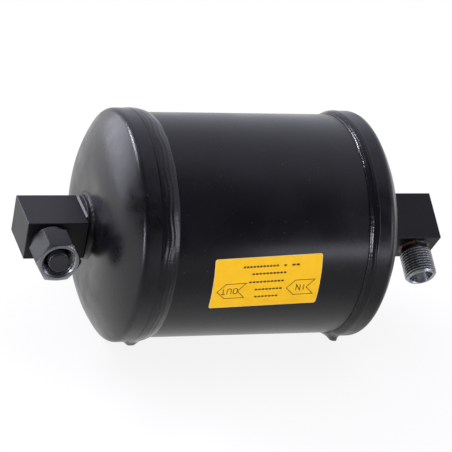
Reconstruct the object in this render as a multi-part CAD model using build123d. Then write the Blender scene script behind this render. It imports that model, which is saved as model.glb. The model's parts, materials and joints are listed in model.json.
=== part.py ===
from build123d import *
import os
from math import atan2, cos, degrees, radians, sin, sqrt

# Welded steel receiver drier, in millimetres.
# The vessel axis is X, with the outlet at -X and the inlet at +X. The origin is the middle of the vessel
# on its axis. The outlet port looks along -Y, and +Z is up. The inlet port is turned further down.

OUTLET = -1
INLET = 1

# Vessel shell
shell_radius = 54.0
shell_wall = 2.0
shell_end_setback = 2.5

# Pressed end caps, whose skirts lap over the shell
cap_wall = 1.8
cap_slip_fit = 0.05
knuckle_radius = 4.0
crown_radius = 49.5
crown_height = 13.6
outlet_skirt_length = 9.9
inlet_skirt_length = 6.6

# Seam welds: how far each bead runs over the shell and over the skirt, and how proud it stands
outlet_bead_on_shell = 5.2
inlet_bead_on_shell = 3.2
outlet_bead_on_skirt = 4.0
inlet_bead_on_skirt = 1.4
bead_step = 0.4
bead_swell = 0.2

# The lump where each seam weld starts and stops, on the underside
outlet_lump_radius = 3.9
inlet_lump_radius = 4.4
outlet_lump_rise = 1.9
inlet_lump_rise = 2.5
outlet_lump_past_edge = 1.0
inlet_lump_past_edge = 2.0
lump_clock = 31.7
lump_clearance = 0.02

# Round necks through the crowns. The outlet crown is the fuller of the two, so its neck shows less.
neck_radius = 14.4
outlet_neck_reach = 2.6
inlet_neck_reach = 3.8
neck_bore_radius = 5.0
neck_inner_reach = 3.0
neck_fit = 0.1
neck_weld_leg = 1.6
neck_edge_break = 0.5

# Square port blocks, drilled with an elbow passage
block_inner_face = 76.6
block_length = 29.7
block_depth = 25.9
block_width = 19.3
block_port_reach = 14.2
block_end_chamfer = 0.8
block_edge_break = 0.3
port_inset = 18.4
inlet_port_turn = 28.6
passage_radius = 4.0
socket_depth = 5.0
braze_fit = 0.05

# Outlet tube, which the swivel nut turns on
tube_radius = 4.76
tube_wall = 1.6
tube_tip_setback = 0.6
tube_tip_chamfer = 0.3
flange_radius = 6.7
flange_length = 2.2
braze_leg = 1.2

# Swivel nut, 5/8-18 inside and 3/4 inch across the flats
nut_across_flats = 19.15
nut_standoff = 1.8
nut_shoulder_length = 2.6
nut_length = 17.0
nut_shoulder_radius = 9.3
nut_web = 4.0
nut_running_fit = 0.08
nut_end_play = 0.1
nut_mouth_lead = 0.26
nut_relief_depth = 0.35
nut_relief_length = 2.6
nut_face_radius = 9.35
nut_face_chamfer = 1.0

# Sealing ring in its groove on the outlet tube, and the plug pushed into the tube's end
ring_section = 0.9
ring_groove_depth = 0.66
ring_groove_length = 2.0
plug_head_length = 1.0
plug_head_inset = 0.2
plug_head_chamfer = 0.25
plug_stem_length = 7.0
plug_fit = 0.04

# Inlet connector, 5/8-18 outside
thread_radius = 7.94
thread_depth = 0.79
thread_length = 13.8
undercut_length = 3.4
tip_chamfer = 1.2
root_chamfer = 0.7
connector_neck_radius = 6.7
spigot_radius = 6.0
pilot_bore_radius = 5.6
pilot_bore_depth = 7.0
pilot_mouth_radius = 6.1
pilot_mouth_depth = 0.6
seat_angle = 45.0

# Flow label on the shell
label_length = 53.3
label_height = 27.1
label_thickness = 0.2
label_corner = 1.2
label_turn = 1.2
label_tilt = 2.7

# Pack inside the shell: cup, gauze, pad, desiccant, pad, gauze, cup
pack_clearance = 0.1
cup_wall = 1.5
cup_rim = 8.0
cup_corner = 3.0
cup_hole_radius = 2.6
cup_hole_rings = 3
cup_hole_spacing = 14.0
gauze_thickness = 0.5
pad_thickness = 8.0
bed_length = 61.0
pickup_cup_gap = 1.35

# Spring that holds the pack tight
spring_wire_radius = 1.5
spring_turns = 4.5
spring_neck_gap = 0.6
spring_ground = 0.7

# Pickup tube down to the low side of the outlet chamber
pickup_radius = 6.35
pickup_wall = 1.0
pickup_socket = 2.4
pickup_straight = 2.0
pickup_bend = 14.0
pickup_floor_gap = 4.0

# Values at each end of the vessel
neck_reach = {OUTLET: outlet_neck_reach, INLET: inlet_neck_reach}
skirt_length = {OUTLET: outlet_skirt_length, INLET: inlet_skirt_length}
bead_on_shell = {OUTLET: outlet_bead_on_shell, INLET: inlet_bead_on_shell}
bead_on_skirt = {OUTLET: outlet_bead_on_skirt, INLET: inlet_bead_on_skirt}
lump_radius = {OUTLET: outlet_lump_radius, INLET: inlet_lump_radius}
lump_rise = {OUTLET: outlet_lump_rise, INLET: inlet_lump_rise}
lump_past_edge = {OUTLET: outlet_lump_past_edge, INLET: inlet_lump_past_edge}
port_turn = {OUTLET: 0.0, INLET: inlet_port_turn}

# Values that follow from the ones above
shell_inner_radius = shell_radius - shell_wall
cap_inner_radius = shell_radius + cap_slip_fit
cap_outer_radius = cap_inner_radius + cap_wall
port_distance = block_inner_face + port_inset
nut_back = block_port_reach + nut_standoff
nut_hex_back = nut_back + nut_shoulder_length
nut_front = nut_back + nut_length
nut_minor_radius = thread_radius - thread_depth
nut_mouth_radius = thread_radius + nut_mouth_lead
nut_relief_radius = nut_minor_radius + nut_relief_depth
tube_tip = nut_front - tube_tip_setback
flange_back = nut_back + nut_web + nut_end_play
flange_front = flange_back + flange_length
tube_bore_radius = tube_radius - tube_wall
ring_groove_radius = tube_radius - ring_groove_depth
plug_head_radius = tube_radius - plug_head_inset
thread_start = block_port_reach + undercut_length
thread_tip = thread_start + thread_length
pack_radius = shell_inner_radius - pack_clearance


def crown_top(side):
    """Distance from the middle of the vessel to the outside of the crown's flat centre."""
    return block_inner_face - neck_reach[side]


def knuckle_plane(side):
    """Distance from the middle of the vessel to the plane where the cap's knuckle begins."""
    return crown_top(side) - crown_height


def skirt_edge(side):
    """Distance from the middle of the vessel to the edge of the cap's skirt."""
    return knuckle_plane(side) - skirt_length[side]


def crown_inside(side):
    """Distance from the middle of the vessel to the inside of the crown's flat centre."""
    return crown_top(side) - cap_wall


def neck_inner_end(side):
    """Distance from the middle of the vessel to the neck's end inside the cap."""
    return crown_inside(side) - neck_inner_reach


def pickup_low_axis():
    """Distance from the middle of the vessel to the axis of the pickup tube's lower leg."""
    return neck_inner_end(OUTLET) - pickup_straight - pickup_bend


def cup_face(side):
    """Distance from the middle of the vessel to the face of a cup that presses on the pack."""
    outlet_face = pickup_low_axis() - pickup_radius - pickup_cup_gap - cup_wall
    if side == OUTLET:
        return outlet_face
    return bed_length + 2 * (pad_thickness + gauze_thickness) - outlet_face


def end_frame(side):
    """Frame on the vessel axis whose Z looks out of the given end and whose X looks down."""
    return Plane(origin=(0, 0, 0), x_dir=(0, 0, -1), z_dir=(side, 0, 0))


def port_frame(side):
    """Frame on a port's axis: Z looks out of the port, X away from the middle of the vessel."""
    turn = radians(port_turn[side])
    return Plane(
        origin=(side * port_distance, 0, 0),
        x_dir=(side, 0, 0),
        z_dir=(0, -cos(turn), -sin(turn)),
    )


def at(frame, solid):
    """The solid moved from a local frame to its place on the vessel."""
    return frame.location * solid


def turned(outline):
    """Solid made by turning a face, drawn as radius and height, about the local Z axis."""
    return revolve(Plane.XZ * outline, Axis.Z)


def outline(*points):
    """Closed face through points of radius and height."""
    return make_face(Polyline(*points, close=True))


def rod(radius, start, stop):
    """Plain cylinder about the local Z axis, between two heights."""
    return Pos(0, 0, start) * Cylinder(radius, stop - start, align=(Align.CENTER, Align.CENTER, Align.MIN))


def tube(outer, inner, start, stop):
    """Plain sleeve about the local Z axis, between two heights."""
    return rod(outer, start, stop) - rod(inner, start, stop)


def fillet_ring(radius, base, leg):
    """Concave ring of weld or braze in the corner of a round neck and a flat face."""
    toe = (radius + leg, base)
    top = (radius, base + leg)
    # The hollow of the fillet is an arc about the far corner of its square
    hollow = radius + leg * (1 - sqrt(0.5))
    middle = (hollow, base + leg * (1 - sqrt(0.5)))
    edges = [Line((radius, base), toe), ThreePointArc(toe, middle, top), Line(top, (radius, base))]
    return turned(make_face(edges))


def shell_tube():
    """Rolled tube whose ends stop short of the caps' knuckles."""
    start = -(knuckle_plane(OUTLET) - shell_end_setback)
    stop = knuckle_plane(INLET) - shell_end_setback
    return at(end_frame(INLET), tube(shell_radius, shell_inner_radius, start, stop))


def dish_edges(side, inset):
    """Half outline of a dished end, from skirt to neck hole, set in from the outside by inset."""
    knuckle = knuckle_radius - inset
    crown = crown_radius - inset
    knuckle_centre = cap_outer_radius - knuckle_radius
    rise = crown_radius - crown_height
    # The flat centre is as wide as two tangent arcs leave it
    flat_radius = knuckle_centre - sqrt((crown_radius - knuckle_radius) ** 2 - rise ** 2)
    angle = degrees(atan2(rise, knuckle_centre - flat_radius))
    plane = knuckle_plane(side)
    hole = neck_radius + neck_fit
    skirt = Line((cap_outer_radius - inset, skirt_edge(side)), (cap_outer_radius - inset, plane))
    bend = CenterArc((knuckle_centre, plane), knuckle, 0, angle)
    dome = CenterArc((flat_radius, plane - rise), crown, angle, 90 - angle)
    flat = Line((flat_radius, crown_top(side) - inset), (hole, crown_top(side) - inset))
    return [skirt, bend, dome, flat]


def end_cap(side):
    """Pressed dished end with a skirt outside and a hole for the neck."""
    outside = dish_edges(side, 0)
    inside = dish_edges(side, cap_wall)
    rim = Line(outside[0] @ 0, inside[0] @ 0)
    hole = Line(outside[-1] @ 1, inside[-1] @ 1)
    return at(end_frame(side), turned(make_face(outside + inside + [rim, hole])))


def weld_lump(side):
    """Rounded lump where the seam weld starts and stops, just clear of the shell and the skirt."""
    edge = skirt_edge(side)
    centre = cap_outer_radius + lump_rise[side] - lump_radius[side]
    lump = Pos(centre, 0, edge + lump_past_edge[side]) * Sphere(lump_radius[side])
    beyond = lump_radius[side] + lump_past_edge[side]
    lump -= rod(shell_radius + lump_clearance, edge - beyond, edge)
    lump -= rod(cap_outer_radius + lump_clearance, edge, edge + beyond)
    return Rot(0, 0, -side * lump_clock) * lump


def seam_weld(side):
    """Bead that joins the skirt's edge to the shell, with its start and stop lump."""
    edge = skirt_edge(side)
    toe = edge - bead_on_shell[side]
    end = edge + bead_on_skirt[side]
    crest = cap_outer_radius + bead_swell
    bead = turned(
        outline(
            (shell_radius, toe),
            (shell_radius + bead_step, toe + bead_step),
            (crest, edge),
            (crest, end - bead_swell),
            (cap_outer_radius, end),
            (cap_outer_radius, edge),
            (shell_radius, edge),
        )
    )
    return at(end_frame(side), bead + weld_lump(side))


def neck(side):
    """Round neck from inside the crown to the port block, with a socket for the pickup tube."""
    inner = neck_inner_end(side)
    body = tube(neck_radius, neck_bore_radius, inner, block_inner_face)
    body = chamfer(body.edges().filter_by(GeomType.CIRCLE).sort_by(SortBy.RADIUS)[-2:], neck_edge_break)
    if side == OUTLET:
        body -= rod(pickup_radius + braze_fit, inner, inner + pickup_socket)
    return at(end_frame(side), body)


def neck_weld(side):
    """Fillet of weld round the neck, on the crown's flat centre."""
    return at(end_frame(side), fillet_ring(neck_radius, crown_top(side), neck_weld_leg))


def port_block(side, bore_radius):
    """Square block with a passage from the neck, turned out through the port's socket."""
    near = block_inner_face - port_distance
    back = block_port_reach - block_depth
    body = Pos(near, 0, back) * Box(
        block_length, block_width, block_depth, align=(Align.MIN, Align.CENTER, Align.MIN)
    )
    body = chamfer(body.edges().group_by(Axis.X)[0], block_end_chamfer)
    body = chamfer(body.edges().group_by(Axis.X)[-1], block_edge_break)
    long_edges = body.edges().filter_by(Axis.X)
    body = chamfer(long_edges, block_edge_break)
    across = Rot(0, -90, 0) * rod(neck_bore_radius, 0, -near)
    body -= across + Sphere(neck_bore_radius)
    body -= rod(passage_radius, 0, block_port_reach)
    body -= rod(bore_radius + braze_fit, block_port_reach - socket_depth, block_port_reach)
    return at(port_frame(side), body)


def outlet_tube():
    """Tube from the block's socket to the tip, with the nut's flange and the sealing ring's groove."""
    foot = block_port_reach - socket_depth
    body = rod(tube_radius, foot, tube_tip)
    body = chamfer(body.edges().group_by(Axis.Z)[-1], tube_tip_chamfer)
    body += rod(flange_radius, flange_back, flange_front)
    body -= tube(flange_radius, ring_groove_radius, flange_front, flange_front + ring_groove_length)
    body -= rod(tube_bore_radius, foot, tube_tip)
    return at(port_frame(OUTLET), body)


def outlet_plug():
    """Push-in plug that closes the end of the outlet tube."""
    head = rod(plug_head_radius, tube_tip, tube_tip + plug_head_length)
    head = chamfer(head.edges().group_by(Axis.Z)[-1], plug_head_chamfer)
    stem = rod(tube_bore_radius - plug_fit, tube_tip - plug_stem_length, tube_tip)
    return at(port_frame(OUTLET), head + stem)


def sealing_ring():
    """Round rubber ring in the outlet tube's groove, against the flange."""
    ring = Torus(ring_groove_radius + ring_section, ring_section)
    return at(port_frame(OUTLET), Pos(0, 0, flange_front + ring_section) * ring)


def swivel_nut():
    """Hexagon nut with a round shoulder behind, a web on the tube and a mouth for the thread."""
    corner = nut_across_flats / sqrt(3)
    hexagon = RegularPolygon(nut_across_flats / 2, 6, major_radius=False)
    body = Pos(0, 0, nut_hex_back) * extrude(hexagon, nut_front - nut_hex_back)
    slope = nut_face_chamfer / (corner - nut_face_radius)
    rim = corner + nut_face_chamfer
    rise = slope * (rim - nut_face_radius)
    envelope = turned(
        outline(
            (0, nut_hex_back),
            (nut_face_radius, nut_hex_back),
            (rim, nut_hex_back + rise),
            (rim, nut_front - rise),
            (nut_face_radius, nut_front),
            (0, nut_front),
        )
    )
    body = (body & envelope) + rod(nut_shoulder_radius, nut_back, nut_hex_back)
    web_top = nut_back + nut_web
    relief_top = web_top + nut_relief_length
    mouth_depth = nut_mouth_radius - nut_minor_radius
    hollow = turned(
        outline(
            (0, nut_back),
            (tube_radius + nut_running_fit, nut_back),
            (tube_radius + nut_running_fit, web_top),
            (nut_relief_radius, web_top),
            (nut_relief_radius, relief_top),
            (nut_minor_radius, relief_top),
            (nut_minor_radius, nut_front - mouth_depth),
            (nut_mouth_radius, nut_front),
            (0, nut_front),
        )
    )
    return at(port_frame(OUTLET), body - hollow)


def inlet_connector():
    """Threaded connector with an undercut neck, a spigot in the block and a seat in its bore."""
    foot = block_port_reach - socket_depth
    seat_top = thread_tip - pilot_bore_depth
    seat_drop = (pilot_bore_radius - passage_radius) / sin(radians(seat_angle)) * cos(radians(seat_angle))
    return at(
        port_frame(INLET),
        turned(
            outline(
                (passage_radius, foot),
                (spigot_radius, foot),
                (spigot_radius, block_port_reach),
                (connector_neck_radius, block_port_reach),
                (connector_neck_radius, thread_start),
                (thread_radius - root_chamfer, thread_start),
                (thread_radius, thread_start + root_chamfer),
                (thread_radius, thread_tip - tip_chamfer),
                (thread_radius - tip_chamfer, thread_tip),
                (pilot_mouth_radius, thread_tip),
                (pilot_bore_radius, thread_tip - pilot_mouth_depth),
                (pilot_bore_radius, seat_top),
                (passage_radius, seat_top - seat_drop),
            )
        ),
    )


def braze_ring(side, radius):
    """Fillet of braze round a fitting, on the block's port face."""
    return at(port_frame(side), fillet_ring(radius, block_port_reach, braze_leg))


def flow_label():
    """Thin rectangular label with round corners, wrapped on the shell a little out of square."""
    skin = at(
        end_frame(INLET),
        tube(shell_radius + label_thickness, shell_radius, -label_length, label_length),
    )
    blank = Box(label_length, label_height, shell_radius * 2, align=(Align.CENTER, Align.CENTER, Align.MIN))
    blank = fillet(blank.edges().filter_by(Axis.Z), label_corner)
    face = Plane(origin=(0, 0, 0), x_dir=(1, 0, 0), z_dir=(0, -cos(radians(label_turn)), sin(radians(label_turn))))
    return skin & (face.location * (Rot(0, 0, label_tilt) * blank))


def perforated_cup(side):
    """Pressed cup with rings of holes in its floor and a rim that slides in the shell."""
    face = cup_face(side)
    cup = rod(pack_radius, face, face + cup_rim)
    cup = fillet(cup.edges().group_by(Axis.Z)[0], cup_corner)
    hollow = rod(pack_radius - cup_wall, face + cup_wall, face + cup_rim)
    hollow = fillet(hollow.edges().group_by(Axis.Z)[0], cup_corner - cup_wall)
    cup -= hollow
    hole = rod(cup_hole_radius, face, face + cup_wall)
    holes = [hole]
    for ring in range(1, cup_hole_rings + 1):
        places = PolarLocations(ring * cup_hole_spacing, 6 * ring)
        holes += [place * hole for place in places]
    return at(end_frame(side), cup - Compound(children=holes))


def disc(side, near, thickness):
    """Plain round layer of the pack, from its near face away from the middle of the vessel."""
    return at(end_frame(side), rod(pack_radius, near, near + thickness))


def desiccant_bed():
    """The packed beads as one closed form between the two pads."""
    start = -(cup_face(OUTLET) - gauze_thickness - pad_thickness)
    return at(end_frame(INLET), rod(pack_radius, start, start + bed_length))


def pressure_spring():
    """Open coil spring from the inlet cup's floor to the inside of the crown, ends ground flat."""
    seat = cup_face(INLET) + cup_wall
    top = crown_inside(INLET)
    coil_radius = neck_radius + spring_neck_gap + spring_wire_radius
    start = seat + spring_wire_radius - spring_ground
    height = top - seat - 2 * (spring_wire_radius - spring_ground)
    path = Helix(height / spring_turns, height, coil_radius)
    section = Plane(origin=path @ 0, z_dir=path % 0) * Circle(spring_wire_radius)
    coil = Pos(0, 0, start) * sweep(section, path=path)
    return at(end_frame(INLET), coil & rod(coil_radius * 2, seat, top))


def pickup_tube():
    """Bent tube from the outlet neck down to just above the low side of the shell."""
    root = neck_inner_end(OUTLET) + pickup_socket
    corner = pickup_low_axis()
    low = shell_inner_radius - pickup_floor_gap
    path = FilletPolyline((0, 0, root), (0, 0, corner), (low, 0, corner), radius=pickup_bend)
    mouth = Plane(origin=path @ 0, z_dir=path % 0)
    outside = sweep(mouth * Circle(pickup_radius), path=path)
    inside = sweep(mouth * Circle(pickup_radius - pickup_wall), path=path)
    return at(end_frame(OUTLET), outside - inside)


def build_parts():
    """Every piece of the receiver drier, by name."""
    outlet_gauze_face = cup_face(OUTLET) - gauze_thickness
    inlet_gauze_face = cup_face(INLET) - gauze_thickness
    return {
        "shell_tube": shell_tube(),
        "outlet_end_cap": end_cap(OUTLET),
        "inlet_end_cap": end_cap(INLET),
        "outlet_seam_weld": seam_weld(OUTLET),
        "inlet_seam_weld": seam_weld(INLET),
        "outlet_neck": neck(OUTLET),
        "inlet_neck": neck(INLET),
        "outlet_neck_weld": neck_weld(OUTLET),
        "inlet_neck_weld": neck_weld(INLET),
        "outlet_block": port_block(OUTLET, tube_radius),
        "inlet_block": port_block(INLET, spigot_radius),
        "outlet_tube": outlet_tube(),
        "outlet_braze_ring": braze_ring(OUTLET, tube_radius),
        "outlet_sealing_ring": sealing_ring(),
        "outlet_swivel_nut": swivel_nut(),
        "outlet_plug": outlet_plug(),
        "inlet_connector": inlet_connector(),
        "inlet_braze_ring": braze_ring(INLET, connector_neck_radius),
        "flow_label": flow_label(),
        "outlet_perforated_cup": perforated_cup(OUTLET),
        "inlet_perforated_cup": perforated_cup(INLET),
        "outlet_gauze": disc(OUTLET, outlet_gauze_face, gauze_thickness),
        "inlet_gauze": disc(INLET, inlet_gauze_face, gauze_thickness),
        "outlet_filter_pad": disc(OUTLET, outlet_gauze_face - pad_thickness, pad_thickness),
        "inlet_filter_pad": disc(INLET, inlet_gauze_face - pad_thickness, pad_thickness),
        "desiccant_bed": desiccant_bed(),
        "pressure_spring": pressure_spring(),
        "pickup_tube": pickup_tube(),
    }


os.makedirs("parts", exist_ok=True)
for name, piece in build_parts().items():
    export_step(piece, f"parts/{name}.step")
    print(name, round(piece.volume, 1))
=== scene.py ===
import json
import logging
import math
from dataclasses import dataclass
from enum import Enum
from functools import lru_cache

import bmesh
import bpy
import numpy as np
from mathutils import Matrix

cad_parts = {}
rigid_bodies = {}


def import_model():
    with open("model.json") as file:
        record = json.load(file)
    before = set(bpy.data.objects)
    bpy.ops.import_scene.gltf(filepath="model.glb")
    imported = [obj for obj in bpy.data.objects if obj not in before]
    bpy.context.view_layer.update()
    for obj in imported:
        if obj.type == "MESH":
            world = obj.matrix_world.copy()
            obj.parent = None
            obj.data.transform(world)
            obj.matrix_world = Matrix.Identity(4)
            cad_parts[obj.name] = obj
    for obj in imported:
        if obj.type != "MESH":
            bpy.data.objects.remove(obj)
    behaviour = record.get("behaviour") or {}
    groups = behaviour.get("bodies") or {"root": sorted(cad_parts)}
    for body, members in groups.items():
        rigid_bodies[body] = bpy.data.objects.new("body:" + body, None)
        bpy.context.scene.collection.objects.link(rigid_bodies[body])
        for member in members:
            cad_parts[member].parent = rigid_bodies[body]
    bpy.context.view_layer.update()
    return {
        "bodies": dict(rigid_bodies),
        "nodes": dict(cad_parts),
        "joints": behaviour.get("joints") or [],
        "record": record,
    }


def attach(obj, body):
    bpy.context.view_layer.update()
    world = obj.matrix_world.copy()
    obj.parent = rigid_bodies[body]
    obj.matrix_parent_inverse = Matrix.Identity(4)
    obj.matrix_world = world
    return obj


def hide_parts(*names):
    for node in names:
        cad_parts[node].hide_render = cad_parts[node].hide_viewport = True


# Looks of a welded steel receiver drier. Lengths in this file are millimetres in the vessel's frame:
# X runs along the vessel from the outlet to the inlet, -Y is towards the viewer and +Z is up.
# They become metres in one place, where a surface is put into a mesh.

MM = 0.001
# Points of a mesh that are nearer than this, in m, are one
MERGE_REACH = 2e-6
# The vessel's two ends, by the sign of their X
OUTLET = -1
INLET = 1
# Colour of the flash lamps and of the room that they light, a little bluer than the paper
COOL_WHITE = "#eff1ff"

# Sizes that more than one piece shares
SHELL_RADIUS = 54.0
PORT_DISTANCE = 95.0
INLET_TURN = 28.6
BLOCK_FACE = 14.2
SOCKET_BOTTOM = 9.2
BRAZE_LEG = 1.2
THREAD_PITCH = 25.4 / 18

Array = np.ndarray
Inputs = dict[str | int, object]
Outputs = bpy.types.bpy_prop_collection
Strokes = tuple[tuple[tuple[float, float], ...], ...]
log = logging.getLogger("receiver_drier")


class Body(Enum):
    """Bodies of the CAD frame that a piece can ride on."""

    VESSEL = "vessel"
    NUT = "swivel_nut"


class Slot(Enum):
    """Material slots of the record."""

    BLACK_PAINT = "black_paint"
    ZINC_STEEL = "zinc_steel"
    COPPER_BRAZE = "copper_braze"
    BLACK_RUBBER = "black_rubber"
    GREY_PLASTIC = "grey_plastic"
    YELLOW_LABEL = "yellow_label"


@dataclass(frozen=True)
class Frame:
    """Right-handed local frame: where its origin is, and where its three axes point."""

    origin: tuple[float, float, float]
    x: tuple[float, float, float]
    y: tuple[float, float, float]
    z: tuple[float, float, float]

    def place(self, local: Array) -> Array:
        """Takes local points to the vessel's frame: origin + x X + y Y + z Z."""
        return local @ np.array([self.x, self.y, self.z]) + np.array(self.origin)


def vessel_frame() -> Frame:
    """Frame on the vessel's axis: Z along +X, and angles count from straight down towards the back."""
    return Frame((0, 0, 0), (0, 0, -1), (0, 1, 0), (1, 0, 0))


def port_frame(side: int, distance: float, turn: float) -> Frame:
    """Frame on a port's axis.

    Args:
        side: OUTLET or INLET.
        distance: from the middle of the vessel to the port's axis, in mm.
        turn: how far the port looks below the horizontal, in degrees.

    Returns:
        A frame whose Z looks out of the port and whose X looks away from the vessel.
    """
    c, s = math.cos(math.radians(turn)), math.sin(math.radians(turn))
    return Frame((side * distance, 0, 0), (side, 0, 0), (0, -side * s, side * c), (0, -c, -s))


OUTLET_PORT = port_frame(OUTLET, PORT_DISTANCE, 0.0)
INLET_PORT = port_frame(INLET, PORT_DISTANCE, INLET_TURN)


@dataclass
class Surface:
    """Points in mm, quads between them, and a flat map of each quad's corners in mm."""

    points: Array
    quads: Array
    flat: Array


def grid_surface(points: Array, close_rows: bool, close_columns: bool) -> Surface:
    """Surface over a grid of points.

    Quad (i, j) joins the points (i, j), (i + 1, j), (i + 1, j + 1) and (i, j + 1). A closed direction
    joins its last line of points to its first. The flat map counts mm along the columns and the rows.

    Args:
        points: array of rows x columns x 3.
        close_rows: whether the last row joins the first.
        close_columns: whether the last column joins the first.

    Returns:
        The surface.
    """
    rows, columns = points.shape[:2]
    i, j = np.meshgrid(
        np.arange(rows if close_rows else rows - 1),
        np.arange(columns if close_columns else columns - 1),
        indexing="ij",
    )
    corner_i = np.stack([i, i + 1, i + 1, i], axis=-1).reshape(-1, 4)
    corner_j = np.stack([j, j, j + 1, j + 1], axis=-1).reshape(-1, 4)
    quads = (corner_i % rows) * columns + corner_j % columns
    down = np.linalg.norm(np.roll(points, -1, axis=0) - points, axis=-1).mean(axis=1)
    across = np.linalg.norm(np.roll(points, -1, axis=1) - points, axis=-1).mean(axis=0)
    reach_down = np.concatenate([[0.0], np.cumsum(down)])
    reach_across = np.concatenate([[0.0], np.cumsum(across)])
    flat = np.stack([reach_across[corner_j], reach_down[corner_i]], axis=-1)
    return Surface(points.reshape(-1, 3), quads, flat)


def joined(surfaces: list[Surface]) -> Surface:
    """Puts several surfaces in one: each one's quads count on from the points before it.

    Args:
        surfaces: at least one.

    Returns:
        The one surface.
    """
    starts = np.cumsum([0] + [len(s.points) for s in surfaces[:-1]])
    return Surface(
        np.concatenate([s.points for s in surfaces]),
        np.concatenate([s.quads + start for s, start in zip(surfaces, starts)]),
        np.concatenate([s.flat for s in surfaces]),
    )


def arc(centre: tuple[float, float], radius: float, start: float, stop: float, steps: int) -> Array:
    """Points of an arc: centre + radius (cos a, sin a), with a in even steps from start to stop degrees."""
    a = np.radians(np.linspace(start, stop, steps))
    return np.column_stack([centre[0] + radius * np.cos(a), centre[1] + radius * np.sin(a)])


def refined(profile: Array, step: float) -> Array:
    """Adds points along a profile so that no run is longer than step, and keeps every corner.

    Stations are the corners' own path lengths and even steps between them, and each coordinate is
    interpolated along the path.

    Args:
        profile: corners x 2.
        step: the longest run, in mm.

    Returns:
        The profile with the added points.
    """
    runs = np.hypot(*np.diff(profile, axis=0).T)
    reach = np.concatenate([[0.0], np.cumsum(runs)])
    stations = np.unique(np.round(np.concatenate([reach, np.arange(0, reach[-1], step)]), 3))
    return np.column_stack([np.interp(stations, reach, profile[:, k]) for k in (0, 1)])


def eased(section: Array, reach: float, steps: int = 5) -> Array:
    """Rounds every corner of a closed section.

    Each corner P becomes the curve (1 - t)^2 A + 2 t (1 - t) P + t^2 B, where A and B lie on the two
    runs that meet at P, at most reach away from it and at most 0.45 of the run.

    Args:
        section: corners x 2, or corners x columns x 2 where the section changes along the other way.
        reach: how far from its corner a rounding begins, in mm.
        steps: points for each corner.

    Returns:
        The rounded section, with steps points for each corner.
    """
    def towards(other: Array) -> Array:
        """Finds where the rounding of each corner begins on its run to another corner.

        Args:
            other: for each corner, the corner at the run's other end.

        Returns:
            Points, at most reach away and at most 0.45 of the run.
        """
        run = other - section
        length = np.maximum(np.linalg.norm(run, axis=-1, keepdims=True), 1e-6)
        return section + run / length * np.minimum(reach, 0.45 * length)

    before, after = towards(np.roll(section, 1, axis=0)), towards(np.roll(section, -1, axis=0))
    t = np.linspace(0, 1, steps).reshape((1, steps) + (1,) * (section.ndim - 1))
    curve = (1 - t) ** 2 * before[:, None] + 2 * t * (1 - t) * section[:, None] + t ** 2 * after[:, None]
    return curve.reshape((-1,) + section.shape[1:])


def round_angles(columns: int) -> Array:
    """Even angles once round, in radians."""
    return np.linspace(0, 2 * np.pi, columns, endpoint=False)


def turned(frame: Frame, section: Array, columns: int, closed: bool = True) -> Surface:
    """Carries a section round the frame's Z axis.

    The point (r, h) of the section at the angle a lies at (r cos a, r sin a, h).

    Args:
        frame: where the axis is.
        section: rows x 2 of radius and height, or rows x columns x 2 where it changes with the angle.
        columns: how many angles.
        closed: whether the section's last point joins its first.

    Returns:
        The surface, whose rows run along the section.
    """
    if section.ndim == 2:
        section = np.repeat(section[:, None], columns, axis=1)
    a = round_angles(columns)
    r, h = section[..., 0], section[..., 1]
    local = np.stack([r * np.cos(a), r * np.sin(a), h], axis=-1)
    return grid_surface(frame.place(local), closed, True)


def ripples(angle: Array, count: int, seed: int, spread: float = 0.5) -> Array:
    """Uneven waves once round: a sum of sines of whole wave numbers near count, with seeded phases.

    Args:
        angle: where they are wanted, in radians.
        count: about how many waves go round.
        seed: of the wave numbers and phases.
        spread: how far a wave number may be from count, as a share of it.

    Returns:
        The waves, about 1 high.
    """
    maker = np.random.default_rng(seed)
    waves = 10
    numbers = np.round(count * (1 + spread * maker.uniform(-1, 1, waves)))
    phases = maker.uniform(0, 2 * np.pi, waves)
    return np.sin(angle[..., None] * numbers + phases).sum(axis=-1) / math.sqrt(waves)


def thread_depth(angle: Array, height: Array, pitch: float) -> Array:
    """How deep a right-handed thread is cut.

    The phase is height / pitch - angle / turn. The flank is a straight ramp from the crest's flat, an
    eighth of the pitch, to the root's flat, a quarter of it.

    Args:
        angle: round the axis, in radians.
        height: along the axis, in mm.
        pitch: of the thread, in mm.

    Returns:
        0 at the crest to 1 at the root.
    """
    crest_flat, root_flat = 0.125, 0.25
    phase = (height / pitch - angle / (2 * np.pi)) % 1.0
    away = np.abs(2 * phase - 1)
    return np.clip((away - crest_flat) / (1 - crest_flat - root_flat), 0, 1)


def srgb(code: str) -> tuple[float, float, float, float]:
    """Linear colour of an sRGB hex code.

    Below 0.04045 the linear value is c / 12.92, and above it ((c + 0.055) / 1.055)^2.4.

    Args:
        code: such as #8090a0.

    Returns:
        Red, green, blue and an alpha of 1.
    """
    raw = np.array([int(code[k:k + 2], 16) for k in (1, 3, 5)]) / 255
    linear = np.where(raw <= 0.04045, raw / 12.92, ((raw + 0.055) / 1.055) ** 2.4)
    return (*linear.tolist(), 1.0)


def per(size: float) -> float:
    """Scale at which a texture's unit is size mm."""
    return 1 / (size * MM)


def span(low: float, high: float, start: float = 0.0, stop: float = 1.0) -> dict[str, float]:
    """Limits that take low..high to start..stop."""
    return {"From Min": low, "From Max": high, "To Min": start, "To Max": stop}


def feed(tree: bpy.types.NodeTree, node: bpy.types.Node, inputs: Inputs) -> None:
    """Links a node's inputs to the sockets given for them, and sets the others to their constants.

    Args:
        tree: the node tree.
        node: one of its nodes.
        inputs: a socket or a constant by input.
    """
    for key, value in inputs.items():
        if isinstance(value, bpy.types.NodeSocket):
            tree.links.new(value, node.inputs[key])
        else:
            node.inputs[key].default_value = value


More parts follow.
